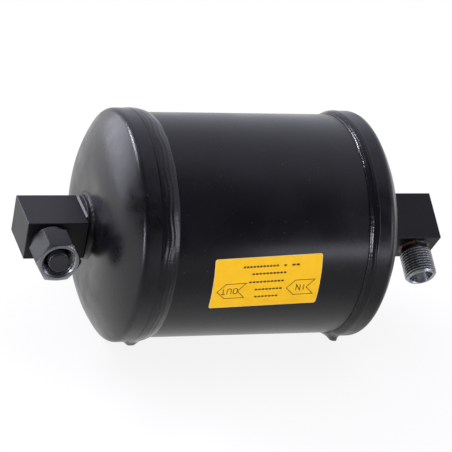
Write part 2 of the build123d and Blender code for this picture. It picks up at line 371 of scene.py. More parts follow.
def add_node(tree: bpy.types.NodeTree, kind: str, inputs: Inputs | None = None, **settings: object) -> Outputs:
    """Adds a node with its settings, its constants and its links.

    Args:
        tree: the node tree.
        kind: the node's type name after ShaderNode.
        inputs: a socket or a constant by input.
        **settings: the node's own properties.

    Returns:
        The node's outputs.
    """
    node = tree.nodes.new("ShaderNode" + kind)
    for name, value in settings.items():
        setattr(node, name, value)
    feed(tree, node, inputs or {})
    return node.outputs


@dataclass(frozen=True)
class Finish:
    """A finish: its name, plain colour, gloss and whether it is metal."""

    name: str
    colour: str
    roughness: float
    metallic: float = 0.0

    def material(self) -> bpy.types.Material:
        """Makes the material: one shader with the plain values, then what pattern adds to it.

        Returns:
            The material.
        """
        made = bpy.data.materials.new(self.name)
        made.use_nodes = True
        made.diffuse_color = srgb(self.colour)
        tree = made.node_tree
        shader = tree.nodes["Principled BSDF"]
        plain = {"Base Color": srgb(self.colour), "Roughness": self.roughness, "Metallic": self.metallic}
        feed(tree, shader, plain)
        feed(tree, shader, self.pattern(tree, add_node(tree, "TexCoord")))
        return made

    def pattern(self, tree: bpy.types.NodeTree, coordinates: Outputs) -> Inputs:
        """What the surface shows over its plain colour.

        Args:
            tree: the material's node tree.
            coordinates: outputs of its Texture Coordinate node.

        Returns:
            A socket or a constant by the shader's input.
        """
        return {}


@dataclass(frozen=True)
class BlackEnamel(Finish):
    """Sprayed black chassis enamel over steel.

    It gives a soft sheen with a slight orange peel, faint cloudy patches where the coat is thinner, and
    a few specks of dust that settled in the wet paint.
    """

    thin_colour: str = "#0c0c11"
    dust_colour: str = "#2b2d31"
    peel_size: float = 1.6
    peel_depth: float = 0.008
    dust_size: float = 0.9
    cloud_size: float = 24.0
    cloud_swing: float = 0.04
    sheen: float = 0.5

    def pattern(self, tree: bpy.types.NodeTree, coordinates: Outputs) -> Inputs:
        """Orange peel, cloudy thin patches and specks, all on Object coordinates.

        Args:
            tree: the material's node tree.
            coordinates: outputs of its Texture Coordinate node.

        Returns:
            A socket or a constant by the shader's input.
        """
        where = coordinates["Object"]
        cloud = add_node(tree, "TexNoise", {"Vector": where, "Scale": per(self.cloud_size), "Detail": 3.0})["Fac"]
        peel = add_node(tree, "TexNoise", {"Vector": where, "Scale": per(self.peel_size)})["Fac"]
        dust = add_node(tree, "TexNoise", {"Vector": where, "Scale": per(self.dust_size), "Detail": 0.0})["Fac"]
        speck = add_node(tree, "MapRange", {"Value": dust, **span(0.81, 0.85)})["Result"]
        thin = add_node(tree, "MapRange", {"Value": cloud, **span(0.35, 0.75)})["Result"]
        coat = add_node(tree, "Mix", {0: thin, 6: srgb(self.colour), 7: srgb(self.thin_colour)}, data_type="RGBA")[2]
        top = add_node(tree, "Mix", {0: speck, 6: coat, 7: srgb(self.dust_colour)}, data_type="RGBA")[2]
        swing = span(0.3, 0.7, self.roughness - self.cloud_swing, self.roughness + self.cloud_swing)
        return {
            "Base Color": top,
            "Roughness": add_node(tree, "MapRange", {"Value": cloud, **swing})["Result"],
            "Specular IOR Level": self.sheen,
            "Normal": add_node(tree, "Bump", {"Height": peel, "Strength": 1.0, "Distance": self.peel_depth * MM})[0],
        }


@dataclass(frozen=True)
class TurnedSteel(Finish):
    """Bright turned steel with thin clear zinc.

    The tool leaves fine rings round the axis, 0.15 mm apart on the real piece and drawn at 0.3 mm so
    that they show. The zinc dulls in small patches. Painted shade darkens a band between two radii,
    which is where a thread's root is. A black cover darkens what lies near the vessel: it is whole up to
    one depth along the port's axis, in mm, and gone past a second. On the inlet connector and the outlet
    tube it is partly overspray and partly painted shade, and deep in the nut it is painted shade.
    """

    dull_colour: str = "#8e9094"
    dull_rise: float = 0.14
    # Colour and metalness of the painted shade and the overspray
    shade_and_spray_colour: str = "#141312"
    shade_and_spray_metal: float = 0.1
    port: Frame = OUTLET_PORT
    # Radii of the painted shade in the thread's root, in mm, and the depth where it stops short of the face
    root_shade: tuple[float, float, float, float] = (-4.0, -3.0, -2.0, -1.0)
    root_shade_front: float = 30.0
    # Depths of the black cover near the vessel, partly overspray and partly painted shade
    spray_and_shade_whole: float = 0.0
    spray_and_shade_gone: float = 1.0
    spray_and_shade_ragged: float = 0.7
    ring_spacing: float = 0.3
    ring_depth: float = 0.005
    ring_strength: float = 0.6

    def shade_and_spray_amount(self, tree: bpy.types.NodeTree, where: bpy.types.NodeSocket) -> bpy.types.NodeSocket:
        """How much painted shade and overspray cover the metal.

        The place is taken from the port's origin. Its dot product with the port's axis is the depth,
        and the length of its cross product with it is the radius. The black cover, partly overspray and
        partly painted shade, is a ramp of the depth with a ragged edge, and the painted shade in the
        thread's root a bell of the radius that ends short of the turned face.

        Args:
            tree: the material's node tree.
            where: Object coordinates.

        Returns:
            A value from 0 to 1.
        """
        origin, axis = [MM * v for v in self.port.origin], self.port.z
        starts, full, fades, ends = (MM * r for r in self.root_shade)
        uneven = span(0.3, 0.7, -self.spray_and_shade_ragged * MM, self.spray_and_shade_ragged * MM)
        # The black cover near the vessel, partly overspray and partly painted shade
        spray_and_shade_span = span(self.spray_and_shade_whole * MM, self.spray_and_shade_gone * MM, 1, 0)
        short_of = span((self.root_shade_front - 0.5) * MM, self.root_shade_front * MM, 1, 0)
        place = add_node(tree, "VectorMath", {0: where, 1: origin}, operation="SUBTRACT")[0]
        depth = add_node(tree, "VectorMath", {0: place, 1: axis}, operation="DOT_PRODUCT")["Value"]
        arm = add_node(tree, "VectorMath", {0: place, 1: axis}, operation="CROSS_PRODUCT")[0]
        radius = add_node(tree, "VectorMath", {0: arm}, operation="LENGTH")["Value"]
        patches = add_node(tree, "TexNoise", {"Vector": where, "Scale": per(1.2)})["Fac"]
        ragged = add_node(tree, "MapRange", {"Value": patches, **uneven})["Result"]
        edge = add_node(tree, "Math", {0: depth, 1: ragged}, operation="ADD")[0]
        spray_and_shade = add_node(tree, "MapRange", {"Value": edge, **spray_and_shade_span})["Result"]
        # Painted shade in the thread's root, a band of radii
        inner = add_node(tree, "MapRange", {"Value": radius, **span(starts, full)})["Result"]
        outer = add_node(tree, "MapRange", {"Value": radius, **span(fades, ends, 1, 0)})["Result"]
        band = add_node(tree, "Math", {0: inner, 1: outer}, operation="MULTIPLY")[0]
        short = add_node(tree, "MapRange", {"Value": depth, **short_of})["Result"]
        root = add_node(tree, "Math", {0: band, 1: short}, operation="MULTIPLY")[0]
        return add_node(tree, "Math", {0: spray_and_shade, 1: root}, operation="MAXIMUM")[0]

    def pattern(self, tree: bpy.types.NodeTree, coordinates: Outputs) -> Inputs:
        """Rings follow the flat map, whose second number is mm along the turned section.

        Args:
            tree: the material's node tree.
            coordinates: outputs of its Texture Coordinate node.

        Returns:
            A socket or a constant by the shader's input.
        """
        where, flat = coordinates["Object"], coordinates["UV"]
        ring_scale = (0.02, 1 / self.ring_spacing, 1.0)
        rings_at = add_node(tree, "Mapping", {"Vector": flat, "Scale": ring_scale})["Vector"]
        rings = add_node(tree, "TexNoise", {"Vector": rings_at, "Scale": 1.0})["Fac"]
        zinc = add_node(tree, "TexNoise", {"Vector": where, "Scale": per(2.5), "Detail": 3.0})["Fac"]
        patch = add_node(tree, "MapRange", {"Value": zinc, **span(0.5, 0.8)})["Result"]
        # Painted shade in the roots and deep inside, and overspray near the vessel
        shade_and_spray = self.shade_and_spray_amount(tree, where)
        metal = add_node(tree, "Mix", {0: patch, 6: srgb(self.colour), 7: srgb(self.dull_colour)}, data_type="RGBA")[2]
        top = add_node(tree, "Mix", {0: shade_and_spray, 6: metal, 7: srgb(self.shade_and_spray_colour)}, data_type="RGBA")[2]
        duller = span(0, 1, self.roughness, self.roughness + self.dull_rise)
        bump = {"Height": rings, "Strength": self.ring_strength, "Distance": self.ring_depth * MM}
        return {
            "Base Color": top,
            "Metallic": add_node(tree, "MapRange", {"Value": shade_and_spray, **span(0, 1, self.metallic, self.shade_and_spray_metal)})[0],
            "Roughness": add_node(tree, "MapRange", {"Value": patch, **duller})["Result"],
            "Normal": add_node(tree, "Bump", bump)["Normal"],
        }


@dataclass(frozen=True)
class CopperBraze(Finish):
    """Copper filler metal, drawn into the joint in the furnace and mostly under black that is partly overspray and
    partly painted shade.

    It gives a warm metal on the side where light falls and the spray couldn't reach, and black on the rest,
    partly paint and partly painted shade. The bare side is where a place's reach from the port's axis along
    a given way is over a given distance in mm.
    """

    # Black over the copper: partly overspray, partly painted shade
    spray_and_shade_colour: str = "#121214"
    port: Frame = OUTLET_PORT
    # The side left bare, where the copper catches the light
    bare_and_lit_way: tuple[float, float] = (-0.8, 0.6)
    bare_and_lit_from: float = 6.4
    ragged: float = 1.5
    flow_size: float = 0.7
    flow_depth: float = 0.04

    def pattern(self, tree: bpy.types.NodeTree, coordinates: Outputs) -> Inputs:
        """Black cover, partly overspray and partly painted shade, with an edge ragged by small patches, which also
        takes the shine away.

        Args:
            tree: the material's node tree.
            coordinates: outputs of its Texture Coordinate node.

        Returns:
            A socket or a constant by the shader's input.
        """
        where = coordinates["Object"]
        origin = [MM * v for v in self.port.origin]
        way = self.bare_and_lit_way[0] * np.array(self.port.x) + self.bare_and_lit_way[1] * np.array(self.port.y)
        uneven = span(0.3, 0.7, -self.ragged * MM, self.ragged * MM)
        spray_and_shade_span = span((self.bare_and_lit_from - 1.0) * MM, (self.bare_and_lit_from + 1.5) * MM, 1, 0)
        place = add_node(tree, "VectorMath", {0: where, 1: origin}, operation="SUBTRACT")[0]
        reach = add_node(tree, "VectorMath", {0: place, 1: way.tolist()}, operation="DOT_PRODUCT")["Value"]
        patches = add_node(tree, "TexNoise", {"Vector": where, "Scale": per(self.ragged), "Detail": 3.0})["Fac"]
        moved = add_node(tree, "MapRange", {"Value": patches, **uneven})["Result"]
        edge = add_node(tree, "Math", {0: reach, 1: moved}, operation="ADD")[0]
        # Black of overspray and painted shade, except on the bare side
        spray_and_shade = add_node(tree, "MapRange", {"Value": edge, **spray_and_shade_span})["Result"]
        top = add_node(tree, "Mix", {0: spray_and_shade, 6: srgb(self.colour), 7: srgb(self.spray_and_shade_colour)}, data_type="RGBA")[2]
        flow = add_node(tree, "TexNoise", {"Vector": where, "Scale": per(self.flow_size)})["Fac"]
        return {
            "Base Color": top,
            "Metallic": add_node(tree, "MapRange", {"Value": spray_and_shade, **span(0, 1, self.metallic, 0)})["Result"],
            "Normal": add_node(tree, "Bump", {"Height": flow, "Strength": 1.0, "Distance": self.flow_depth * MM})[0],
        }


@dataclass(frozen=True)
class Moulded(Finish):
    """Moulded rubber or plastic: an even colour with a fine matt grain from the mould's steel."""

    grain: float = 0.25
    grain_depth: float = 0.008
    gloss_size: float = 3.0
    gloss_swing: float = 0.06

    def pattern(self, tree: bpy.types.NodeTree, coordinates: Outputs) -> Inputs:
        """Grain in the normal, and a slight change of gloss over gloss_size mm.

        Args:
            tree: the material's node tree.
            coordinates: outputs of its Texture Coordinate node.

        Returns:
            A socket or a constant by the shader's input.
        """
        where = coordinates["Object"]
        fine = add_node(tree, "TexNoise", {"Vector": where, "Scale": per(self.grain)})["Fac"]
        broad = add_node(tree, "TexNoise", {"Vector": where, "Scale": per(self.gloss_size)})["Fac"]
        swing = span(0.3, 0.7, self.roughness - self.gloss_swing, self.roughness + self.gloss_swing)
        return {
            "Roughness": add_node(tree, "MapRange", {"Value": broad, **swing})["Result"],
            "Normal": add_node(tree, "Bump", {"Height": fine, "Strength": 1.0, "Distance": self.grain_depth * MM})[0],
        }


@dataclass(frozen=True)
class PrintedFilm(Finish):
    """Self-adhesive vinyl film with a yellow ground printed nearly to its edge.

    It gives a flat strong yellow with a satin top, slightly uneven ink and a fine leathery ripple.
    """

    deep_colour: str = "#f0b508"
    sheen: float = 0.25
    ink_size: float = 6.0
    ripple_size: float = 1.2
    ripple_depth: float = 0.006

    def pattern(self, tree: bpy.types.NodeTree, coordinates: Outputs) -> Inputs:
        """Ink density over ink_size mm and a ripple, under a satin top that shines little.

        Args:
            tree: the material's node tree.
            coordinates: outputs of its Texture Coordinate node.

        Returns:
            A socket or a constant by the shader's input.
        """
        where = coordinates["Object"]
        ink = add_node(tree, "TexNoise", {"Vector": where, "Scale": per(self.ink_size), "Detail": 3.0})["Fac"]
        deep = add_node(tree, "MapRange", {"Value": ink, **span(0.35, 0.7)})["Result"]
        ripple = add_node(tree, "TexNoise", {"Vector": where, "Scale": per(self.ripple_size)})["Fac"]
        bump = {"Height": ripple, "Strength": 1.0, "Distance": self.ripple_depth * MM}
        colours = {6: srgb(self.colour), 7: srgb(self.deep_colour)}
        return {
            "Base Color": add_node(tree, "Mix", {0: deep, **colours}, data_type="RGBA")[2],
            "Specular IOR Level": self.sheen,
            "Normal": add_node(tree, "Bump", bump)["Normal"],
        }


@dataclass(frozen=True)
class PressedSteel(Finish):
    """Plain pressed or drawn steel sheet, with the faint straight lines of the rolling mill."""

    line_colour: str = "#8f8d88"
    line_size: float = 0.5
    line_depth: float = 0.004
    oil_size: float = 8.0
    oil_swing: float = 0.1

    def pattern(self, tree: bpy.types.NodeTree, coordinates: Outputs) -> Inputs:
        """Rolling lines along X, line_size mm apart and forty times as long, and oily patches.

        Args:
            tree: the material's node tree.
            coordinates: outputs of its Texture Coordinate node.

        Returns:
            A socket or a constant by the shader's input.
        """
        where = coordinates["Object"]
        stretched = add_node(tree, "Mapping", {"Vector": where, "Scale": (0.025, 1.0, 1.0)})["Vector"]
        lines = add_node(tree, "TexNoise", {"Vector": stretched, "Scale": per(self.line_size)})["Fac"]
        oily = add_node(tree, "TexNoise", {"Vector": where, "Scale": per(self.oil_size), "Detail": 3.0})["Fac"]
        shade = add_node(tree, "MapRange", {"Value": lines, **span(0.3, 0.7)})["Result"]
        swing = span(0.3, 0.7, self.roughness - self.oil_swing, self.roughness + self.oil_swing)
        colours = {6: srgb(self.colour), 7: srgb(self.line_colour)}
        return {
            "Base Color": add_node(tree, "Mix", {0: shade, **colours}, data_type="RGBA")[2],
            "Roughness": add_node(tree, "MapRange", {"Value": oily, **swing})["Result"],
            "Normal": add_node(tree, "Bump", {"Height": lines, "Strength": 1.0, "Distance": self.line_depth * MM})[0],
        }


@dataclass(frozen=True)
class WovenGauze(Finish):
    """Plain-woven steel wire cloth, whose wires cross every 0.8 mm, with painted shade in the gaps between them."""

    # Painted shade seen through the gaps between the wires
    gap_shade_colour: str = "#25272a"
    wire_spacing: float = 0.8
    wire_height: float = 0.12

    def pattern(self, tree: bpy.types.NodeTree, coordinates: Outputs) -> Inputs:
        """Two sets of bands at right angles in the Y-Z plane: the higher of the two is wire.

        A wave texture has pi / 10 bands in a unit, so its scale is that over the spacing.

        Args:
            tree: the material's node tree.
            coordinates: outputs of its Texture Coordinate node.

        Returns:
            A socket or a constant by the shader's input.
        """
        band = {"Vector": coordinates["Object"], "Scale": 0.314 / (self.wire_spacing * MM), "Distortion": 0.0}
        bands = [add_node(tree, "TexWave", band, bands_direction=way)["Fac"] for way in ("Y", "Z")]
        wire = add_node(tree, "Math", {0: bands[0], 1: bands[1]}, operation="MAXIMUM")[0]
        seen = add_node(tree, "MapRange", {"Value": wire, **span(0.4, 0.7)})["Result"]
        # The gaps get the painted shade and the wires the steel
        colours = {6: srgb(self.gap_shade_colour), 7: srgb(self.colour)}
        return {
            "Base Color": add_node(tree, "Mix", {0: seen, **colours}, data_type="RGBA")[2],
            "Normal": add_node(tree, "Bump", {"Height": wire, "Strength": 1.0, "Distance": self.wire_height * MM})[0],
        }


@dataclass(frozen=True)
class FilterFelt(Finish):
    """Needled polyester felt: a pale matt mat of short fibres."""

    deep_colour: str = "#b5ad9e"
    fibre_size: float = 0.4
    fibre_height: float = 0.15
    bend_size: float = 4.0
    fuzz: float = 0.3

    def pattern(self, tree: bpy.types.NodeTree, coordinates: Outputs) -> Inputs:
        """Fibres from a fine noise that a coarser one bends by up to bend_size mm.

        Args:
            tree: the material's node tree.
            coordinates: outputs of its Texture Coordinate node.

        Returns:
            A socket or a constant by the shader's input.
        """
        where, bend_by = coordinates["Object"], (self.bend_size * MM,) * 3
        bend = add_node(tree, "TexNoise", {"Vector": where, "Scale": per(self.bend_size)})["Color"]
        moved = add_node(tree, "VectorMath", {0: bend, 1: bend_by, 2: where}, operation="MULTIPLY_ADD")[0]
        fibres = add_node(tree, "TexNoise", {"Vector": moved, "Scale": per(self.fibre_size), "Detail": 4.0})["Fac"]
        top = add_node(tree, "MapRange", {"Value": fibres, **span(0.35, 0.65)})["Result"]
        bump = {"Height": fibres, "Strength": 1.0, "Distance": self.fibre_height * MM}
        colours = {6: srgb(self.deep_colour), 7: srgb(self.colour)}
        return {
            "Base Color": add_node(tree, "Mix", {0: top, **colours}, data_type="RGBA")[2],
            "Sheen Weight": self.fuzz,
            "Normal": add_node(tree, "Bump", bump)["Normal"],
        }


@dataclass(frozen=True)
class SieveBeads(Finish):
    """A bed of fired molecular sieve beads, each about 2 mm across and tan."""

    dark_colour: str = "#b89c78"
    # Painted shade in the gaps between the beads
    gap_shade_colour: str = "#4a3f31"
    bead_size: float = 2.0
    bead_height: float = 0.7

    def pattern(self, tree: bpy.types.NodeTree, coordinates: Outputs) -> Inputs:
        """One rounded cell for each bead, with painted shade in the gaps between beads and a tone of its own.

        Args:
            tree: the material's node tree.
            coordinates: outputs of its Texture Coordinate node.

        Returns:
            A socket or a constant by the shader's input.
        """
        cells = add_node(tree, "TexVoronoi", {"Vector": coordinates["Object"], "Scale": per(self.bead_size)})
        crown = add_node(tree, "MapRange", {"Value": cells["Distance"], **span(0.1, 0.62, 1, 0)})["Result"]
        shade = add_node(tree, "SeparateColor", {0: cells["Color"]})[0]
        bead = add_node(tree, "Mix", {0: shade, 6: srgb(self.colour), 7: srgb(self.dark_colour)}, data_type="RGBA")[2]
        # Painted shade: the edge of each cell takes the gap colour
        lit = add_node(tree, "MapRange", {"Value": crown, **span(0, 0.3)})["Result"]
        return {
            "Base Color": add_node(tree, "Mix", {0: lit, 6: srgb(self.gap_shade_colour), 7: bead}, data_type="RGBA")[2],
            "Normal": add_node(tree, "Bump", {"Height": crown, "Strength": 1.0, "Distance": self.bead_height * MM})[0],
        }


@lru_cache(maxsize=None)
def material_of(finish: Finish) -> bpy.types.Material:
    """The material of a finish, made once."""
    return finish.material()


# Enamel on the rolled shell: an even gloss and the broadest clouds.
SHELL_ENAMEL = BlackEnamel("black_enamel_on_rolled_steel", "#060609", 0.27)
# Enamel on the pressed caps: a coarser peel and smaller clouds, where the press stretched the steel.
CAP_ENAMEL = BlackEnamel(
    "black_enamel_on_pressed_caps", "#060609", 0.31, thin_colour="#121217", peel_size=2.2, cloud_size=9.0,
    cloud_swing=0.07,
)
# Enamel that ran together on the weld beads: the sharpest gloss.
WELD_ENAMEL = BlackEnamel("black_enamel_on_weld_bead", "#060609", 0.23, peel_size=1.0, peel_depth=0.010)
# Thin enamel on sawn bar steel, the nut and the necks: nearly matt.
BLOCK_ENAMEL = BlackEnamel("black_enamel_on_bar_steel", "#050508", 0.46, peel_size=0.9, peel_depth=0.006, sheen=0.4)
# The inlet connector: bright crests, painted shade in the roots, and near the block a black cover that is partly
# overspray and partly painted shade.
CONNECTOR_TURNED = TurnedSteel(
    "clear_zinc_on_turned_steel", "#b6b8bc", 0.27, 1.0, shade_and_spray_colour="#1d1714", port=INLET_PORT,
    root_shade=(6.3, 6.6, 7.15, 7.6), root_shade_front=30.4, spray_and_shade_whole=16.0, spray_and_shade_gone=19.0,
)
# The outlet tube: black up to its last few millimetres, partly overspray and partly painted shade inside the nut.
TUBE_TURNED = TurnedSteel(
    "turned_steel_under_overspray", "#8d8f93", 0.34, 1.0, port=OUTLET_PORT, spray_and_shade_whole=29.0, spray_and_shade_gone=31.0
)
# The nut's face and thread: bright near the mouth, painted shade in the thread's roots, and black deep inside, which
# is painted shade.
NUT_TURNED = TurnedSteel(
    "turned_steel_of_the_nut", "#96989c", 0.26, 1.0, dull_colour="#77797d", port=OUTLET_PORT,
    root_shade=(7.2, 7.5, 8.0, 8.15), root_shade_front=32.2, spray_and_shade_whole=25.0, spray_and_shade_gone=28.5,
)
# Copper filler: bare on one side of each fitting, and black on the rest, partly overspray and partly painted shade.
OUTLET_BRAZE = CopperBraze("copper_braze_of_the_outlet", "#8a5a42", 0.26, 1.0, port=OUTLET_PORT)
INLET_BRAZE = CopperBraze("copper_braze_of_the_inlet", "#8a5a42", 0.26, 1.0, port=INLET_PORT)
# Moulded parts: matt and even.
RUBBER = Moulded("moulded_nitrile_rubber", "#161616", 0.55)
PLUG_PLASTIC = Moulded("moulded_grey_polyethylene", "#1e1e23", 0.55)
# The label: yellow ground, pale cut edge and nearly black ink that stands a little proud.
FILM = PrintedFilm("printed_vinyl_film", "#f5bd10", 0.42)
FILM_EDGE = Moulded("cut_edge_of_vinyl_film", "#efe3b4", 0.5)
INK = Moulded("black_screen_ink", "#2a2410", 0.5)
# What is sealed inside: plain grey sheet and wire cloth, pale felt and tan beads.
SHEET = PressedSteel("pressed_steel_sheet", "#a5a39d", 0.42, 1.0)
GAUZE = WovenGauze("woven_steel_gauze", "#a8a6a0", 0.4, 1.0)
FELT = FilterFelt("needled_polyester_felt", "#ded7c9", 0.95)
BEADS = SieveBeads("fired_molecular_sieve_beads", "#cdb592", 0.8)


@dataclass
class Piece:
    """A visible piece: its surface, its finish, and what it is in the CAD frame."""

    name: str
    surface: Surface
    finish: Finish
    slot: Slot
    replaces: tuple[str, ...]
    body: Body = Body.VESSEL
    crease: float = 35.0

    def place(self) -> bpy.types.Object:
        """Makes the object, dresses it and ties it to the frame.

        Returns:
            The object, at the origin, with its place in its mesh.
        """
        mesh = bpy.data.meshes.new(self.name)
        mesh.from_pydata((self.surface.points * MM).tolist(), [], self.surface.quads.tolist())
        mesh.uv_layers.new(name="flat").uv.foreach_set("vector", self.surface.flat.astype(np.float32).ravel())
        close_up(mesh)
        mesh.shade_smooth()
        mesh.set_sharp_from_angle(angle=math.radians(self.crease))
        mesh.materials.append(material_of(self.finish))
        made = bpy.data.objects.new(self.name, mesh)
        bpy.context.scene.collection.objects.link(made)
        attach(made, self.body.value)
        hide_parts(*self.replaces)
        log.info("%s: %d faces, %s, for %s", self.name, len(mesh.polygons), self.finish.name, ", ".join(self.replaces))
        return made


def close_up(mesh: bpy.types.Mesh) -> None:
    """Merges the points that fall together at a pole or a seam, and turns every face outwards.

    Args:
        mesh: of a closed piece.
    """
    work = bmesh.new()
    work.from_mesh(mesh)
    bmesh.ops.remove_doubles(work, verts=work.verts, dist=MERGE_REACH)
    bmesh.ops.recalc_face_normals(work, faces=work.faces)
    work.to_mesh(mesh)
    work.free()


def dress(node: bpy.types.Object, finish: Finish) -> None:
    """Gives a CAD node's own mesh a finish.

    Args:
        node: the CAD node's object.
        finish: what its real surface is.
    """
    node.data.materials.clear()
    node.data.materials.append(material_of(finish))
    log.info("%s: CAD solid, %s", node.name, finish.name)


@dataclass
class End:
    """Sizes of one end of the vessel. Distances are from the vessel's middle, and the turn is in degrees."""

    side: int
    name: str
    crown_top: float
    skirt_length: float
    bead_on_shell: float
    bead_on_skirt: float
    lump_rise: float
    lump_length: float
    lump_past_edge: float
    port_turn: float
    seed: int


@dataclass
class Vessel:
    """The welded vessel: shell, two dished caps, their seam welds and the necks."""

    shell_wall: float = 2.0
    shell_setback: float = 2.5
    cap_radius: float = 55.85
    cap_wall: float = 1.8
    knuckle_radius: float = 4.0
    crown_radius: float = 49.5
    crown_height: float = 13.6
    neck_radius: float = 14.4
    neck_bore: float = 5.0
    neck_hole: float = 14.5
    neck_face: float = 76.6
    neck_inside: float = 4.8
    neck_weld_leg: float = 1.7
    neck_weld_spread: float = 1.25
    block_half_width: float = 9.65
    block_back: float = 11.7
    block_leg: float = 1.1
    block_rise: float = 0.75
    block_rim_gap: float = 0.25
    block_pull: float = 0.42
    edge_break: float = 0.3
    neck_break: float = 0.55
    bead_crest: float = 0.2
    crescent_spacing: float = 1.5
    crescent_height: float = 0.006
    streak_height: float = 0.06
    swell_height: float = 0.04
    toe_wander: float = 0.09
    stop_wander: float = 0.07
    edge_jitter: float = 0.03
    rise_power: float = 2.2
    lump_clock: float = 31.7
    lump_toe: float = 0.9
    lump_stop: float = 1.3
    lump_half: float = 0.42
    ends: tuple[End, End] = (
        End(OUTLET, "outlet", 74.0, 9.9, 5.2, 4.0, 1.9, 7.0, 1.0, 0.0, 5),
        End(INLET, "inlet", 72.8, 6.6, 3.2, 1.4, 2.5, 8.0, 2.0, INLET_TURN, 8),
    )

    def knuckle_plane(self, end: End) -> float:
        """Where a cap's knuckle begins."""
        return end.crown_top - self.crown_height

    def shell(self) -> Surface:
        """Rolled tube: a long thin rectangle carried round the axis.

        Returns:
            The closed tube.
        """
        start, stop = (end.side * (self.knuckle_plane(end) - self.shell_setback) for end in self.ends)
        inner = SHELL_RADIUS - self.shell_wall
        section = np.array([(inner, start), (SHELL_RADIUS, start), (SHELL_RADIUS, stop), (inner, stop)])
        return turned(vessel_frame(), eased(section, self.edge_break, 4), 720)

    def dish(self, end: End, inset: float) -> Array:
        """Half outline of a dished cap, set in from its outside: skirt, knuckle arc, crown arc and flat.

        The crown arc is tangent to the knuckle arc, so their centres lie on one line, and the flat
        centre is as wide as the two arcs leave it.

        Args:
            end: which end of the vessel.
            inset: distance in from the cap's outside, in mm.

        Returns:
            Points x 2 of radius and height.
        """
        plane = self.knuckle_plane(end)
        centre = self.cap_radius - self.knuckle_radius
        rise = self.crown_radius - self.crown_height
        flat = centre - math.sqrt((self.crown_radius - self.knuckle_radius) ** 2 - rise ** 2)
        angle = math.degrees(math.atan2(rise, centre - flat))
        skirt = np.array([(self.cap_radius - inset, plane - end.skirt_length)])
        knuckle = arc((centre, plane), self.knuckle_radius - inset, 0, angle, 14)
        crown = arc((flat, plane - rise), self.crown_radius - inset, angle, 90, 40)[1:]
        hole = np.array([(self.neck_hole, end.crown_top - inset)])
        return np.concatenate([skirt, knuckle, crown, hole])

    def cap(self, end: End) -> Surface:
        """Pressed cap: its outer outline and back along the inner one, carried round the axis.

        Args:
            end: which end of the vessel.

        Returns:
            The closed cap.
        """
        section = np.concatenate([self.dish(end, 0), self.dish(end, self.cap_wall)[::-1]])
        section[:, 1] *= end.side
        return turned(vessel_frame(), section, 540)

    def seam_weld(self, end: End) -> Surface:
        """Bead over the skirt's edge.

        Its top starts steep at the toe on the shell and levels out on the skirt: the part of its height
        that it has reached at t is 1 - (1 - (t + 0.05) / 0.9)^rise_power. The toe wanders, shallow streaks
        follow the weld, and fine crescents cross it. The lump is a bell in both directions:
        rise exp(-(x / half)^4 - (arc / half)^2). Away from the lump nothing stands above the crest.

        Args:
            end: which end of the vessel.

        Returns:
            The closed bead.
        """
        edge = self.knuckle_plane(end) - end.skirt_length
        toe, stop = edge - end.bead_on_shell, edge + end.bead_on_skirt
        crest = self.cap_radius + self.bead_crest
        columns = 1440
        a = round_angles(columns)
        t = np.linspace(0, 1, 26)[:, None]
        away = np.angle(np.exp(1j * (a + math.radians(self.lump_clock)))) * self.cap_radius
        bell = np.exp(-(away / (0.5 * end.lump_length)) ** 2)
        toe_line = toe + self.toe_wander * ripples(a, 25, end.seed)
        toe_line = toe_line + self.edge_jitter * ripples(a, 150, end.seed + 1) - self.lump_toe * bell
        stop_line = stop + self.stop_wander * ripples(a, 30, end.seed + 2)
        stop_line = stop_line + self.edge_jitter * ripples(a, 160, end.seed + 3) + self.lump_stop * bell
        x = toe_line + (stop_line - toe_line) * t
        rise = 1 - np.maximum(1 - (t + 0.05) / 0.9, 0) ** self.rise_power
        base = np.where(x < edge, SHELL_RADIUS, self.cap_radius)
        height = SHELL_RADIUS + (crest - SHELL_RADIUS) * rise
        height = np.where(t >= 0.999, base + 0.01, np.maximum(height, base + 0.02))
        along = end.side * a * self.cap_radius
        body = np.sin(np.pi * t)
        bow = 4.4 * (t - 0.5) ** 2
        crescents = self.crescent_height * np.sin(2 * np.pi * (along / self.crescent_spacing + bow))
        streaks = self.streak_height * np.sin(2 * np.pi * 4 * t + 0.8 * ripples(a, 12, end.seed + 4))
        swell = self.swell_height * ripples(a, 16, end.seed + 5)
        centre = edge + end.lump_past_edge
        lump = end.lump_rise * bell * np.exp(-np.abs((x - centre) / (self.lump_half * end.lump_length)) ** 4)
        height = np.minimum(height + body * (crescents + streaks + swell), crest) + lump * (t < 0.999)
        top = np.stack([height, x], axis=-1)
        under = np.array([(self.cap_radius - 0.02, edge + 0.05), (SHELL_RADIUS - 0.02, edge - 0.05)])
        under = np.repeat(under[:, None], columns, axis=1)
        toe_row = np.stack([np.full(columns, SHELL_RADIUS - 0.02), toe_line], axis=-1)[None]
        section = np.concatenate([toe_row, top, under])
        section[..., 1] *= end.side
        return turned(vessel_frame(), section, columns)

    def neck(self, end: End) -> Surface:
        """Round neck with a bore: a rectangle with broken edges, carried round the axis.

        Args:
            end: which end of the vessel.

        Returns:
            The closed neck.
        """
        inside = end.crown_top - self.neck_inside
        section = np.array([
            (self.neck_bore, inside),
            (self.neck_radius, inside),
            (self.neck_radius, self.neck_face),
            (self.neck_bore, self.neck_face),
        ])
        section = eased(section, self.neck_break)
        section[:, 1] *= end.side
        return turned(vessel_frame(), section, 240)

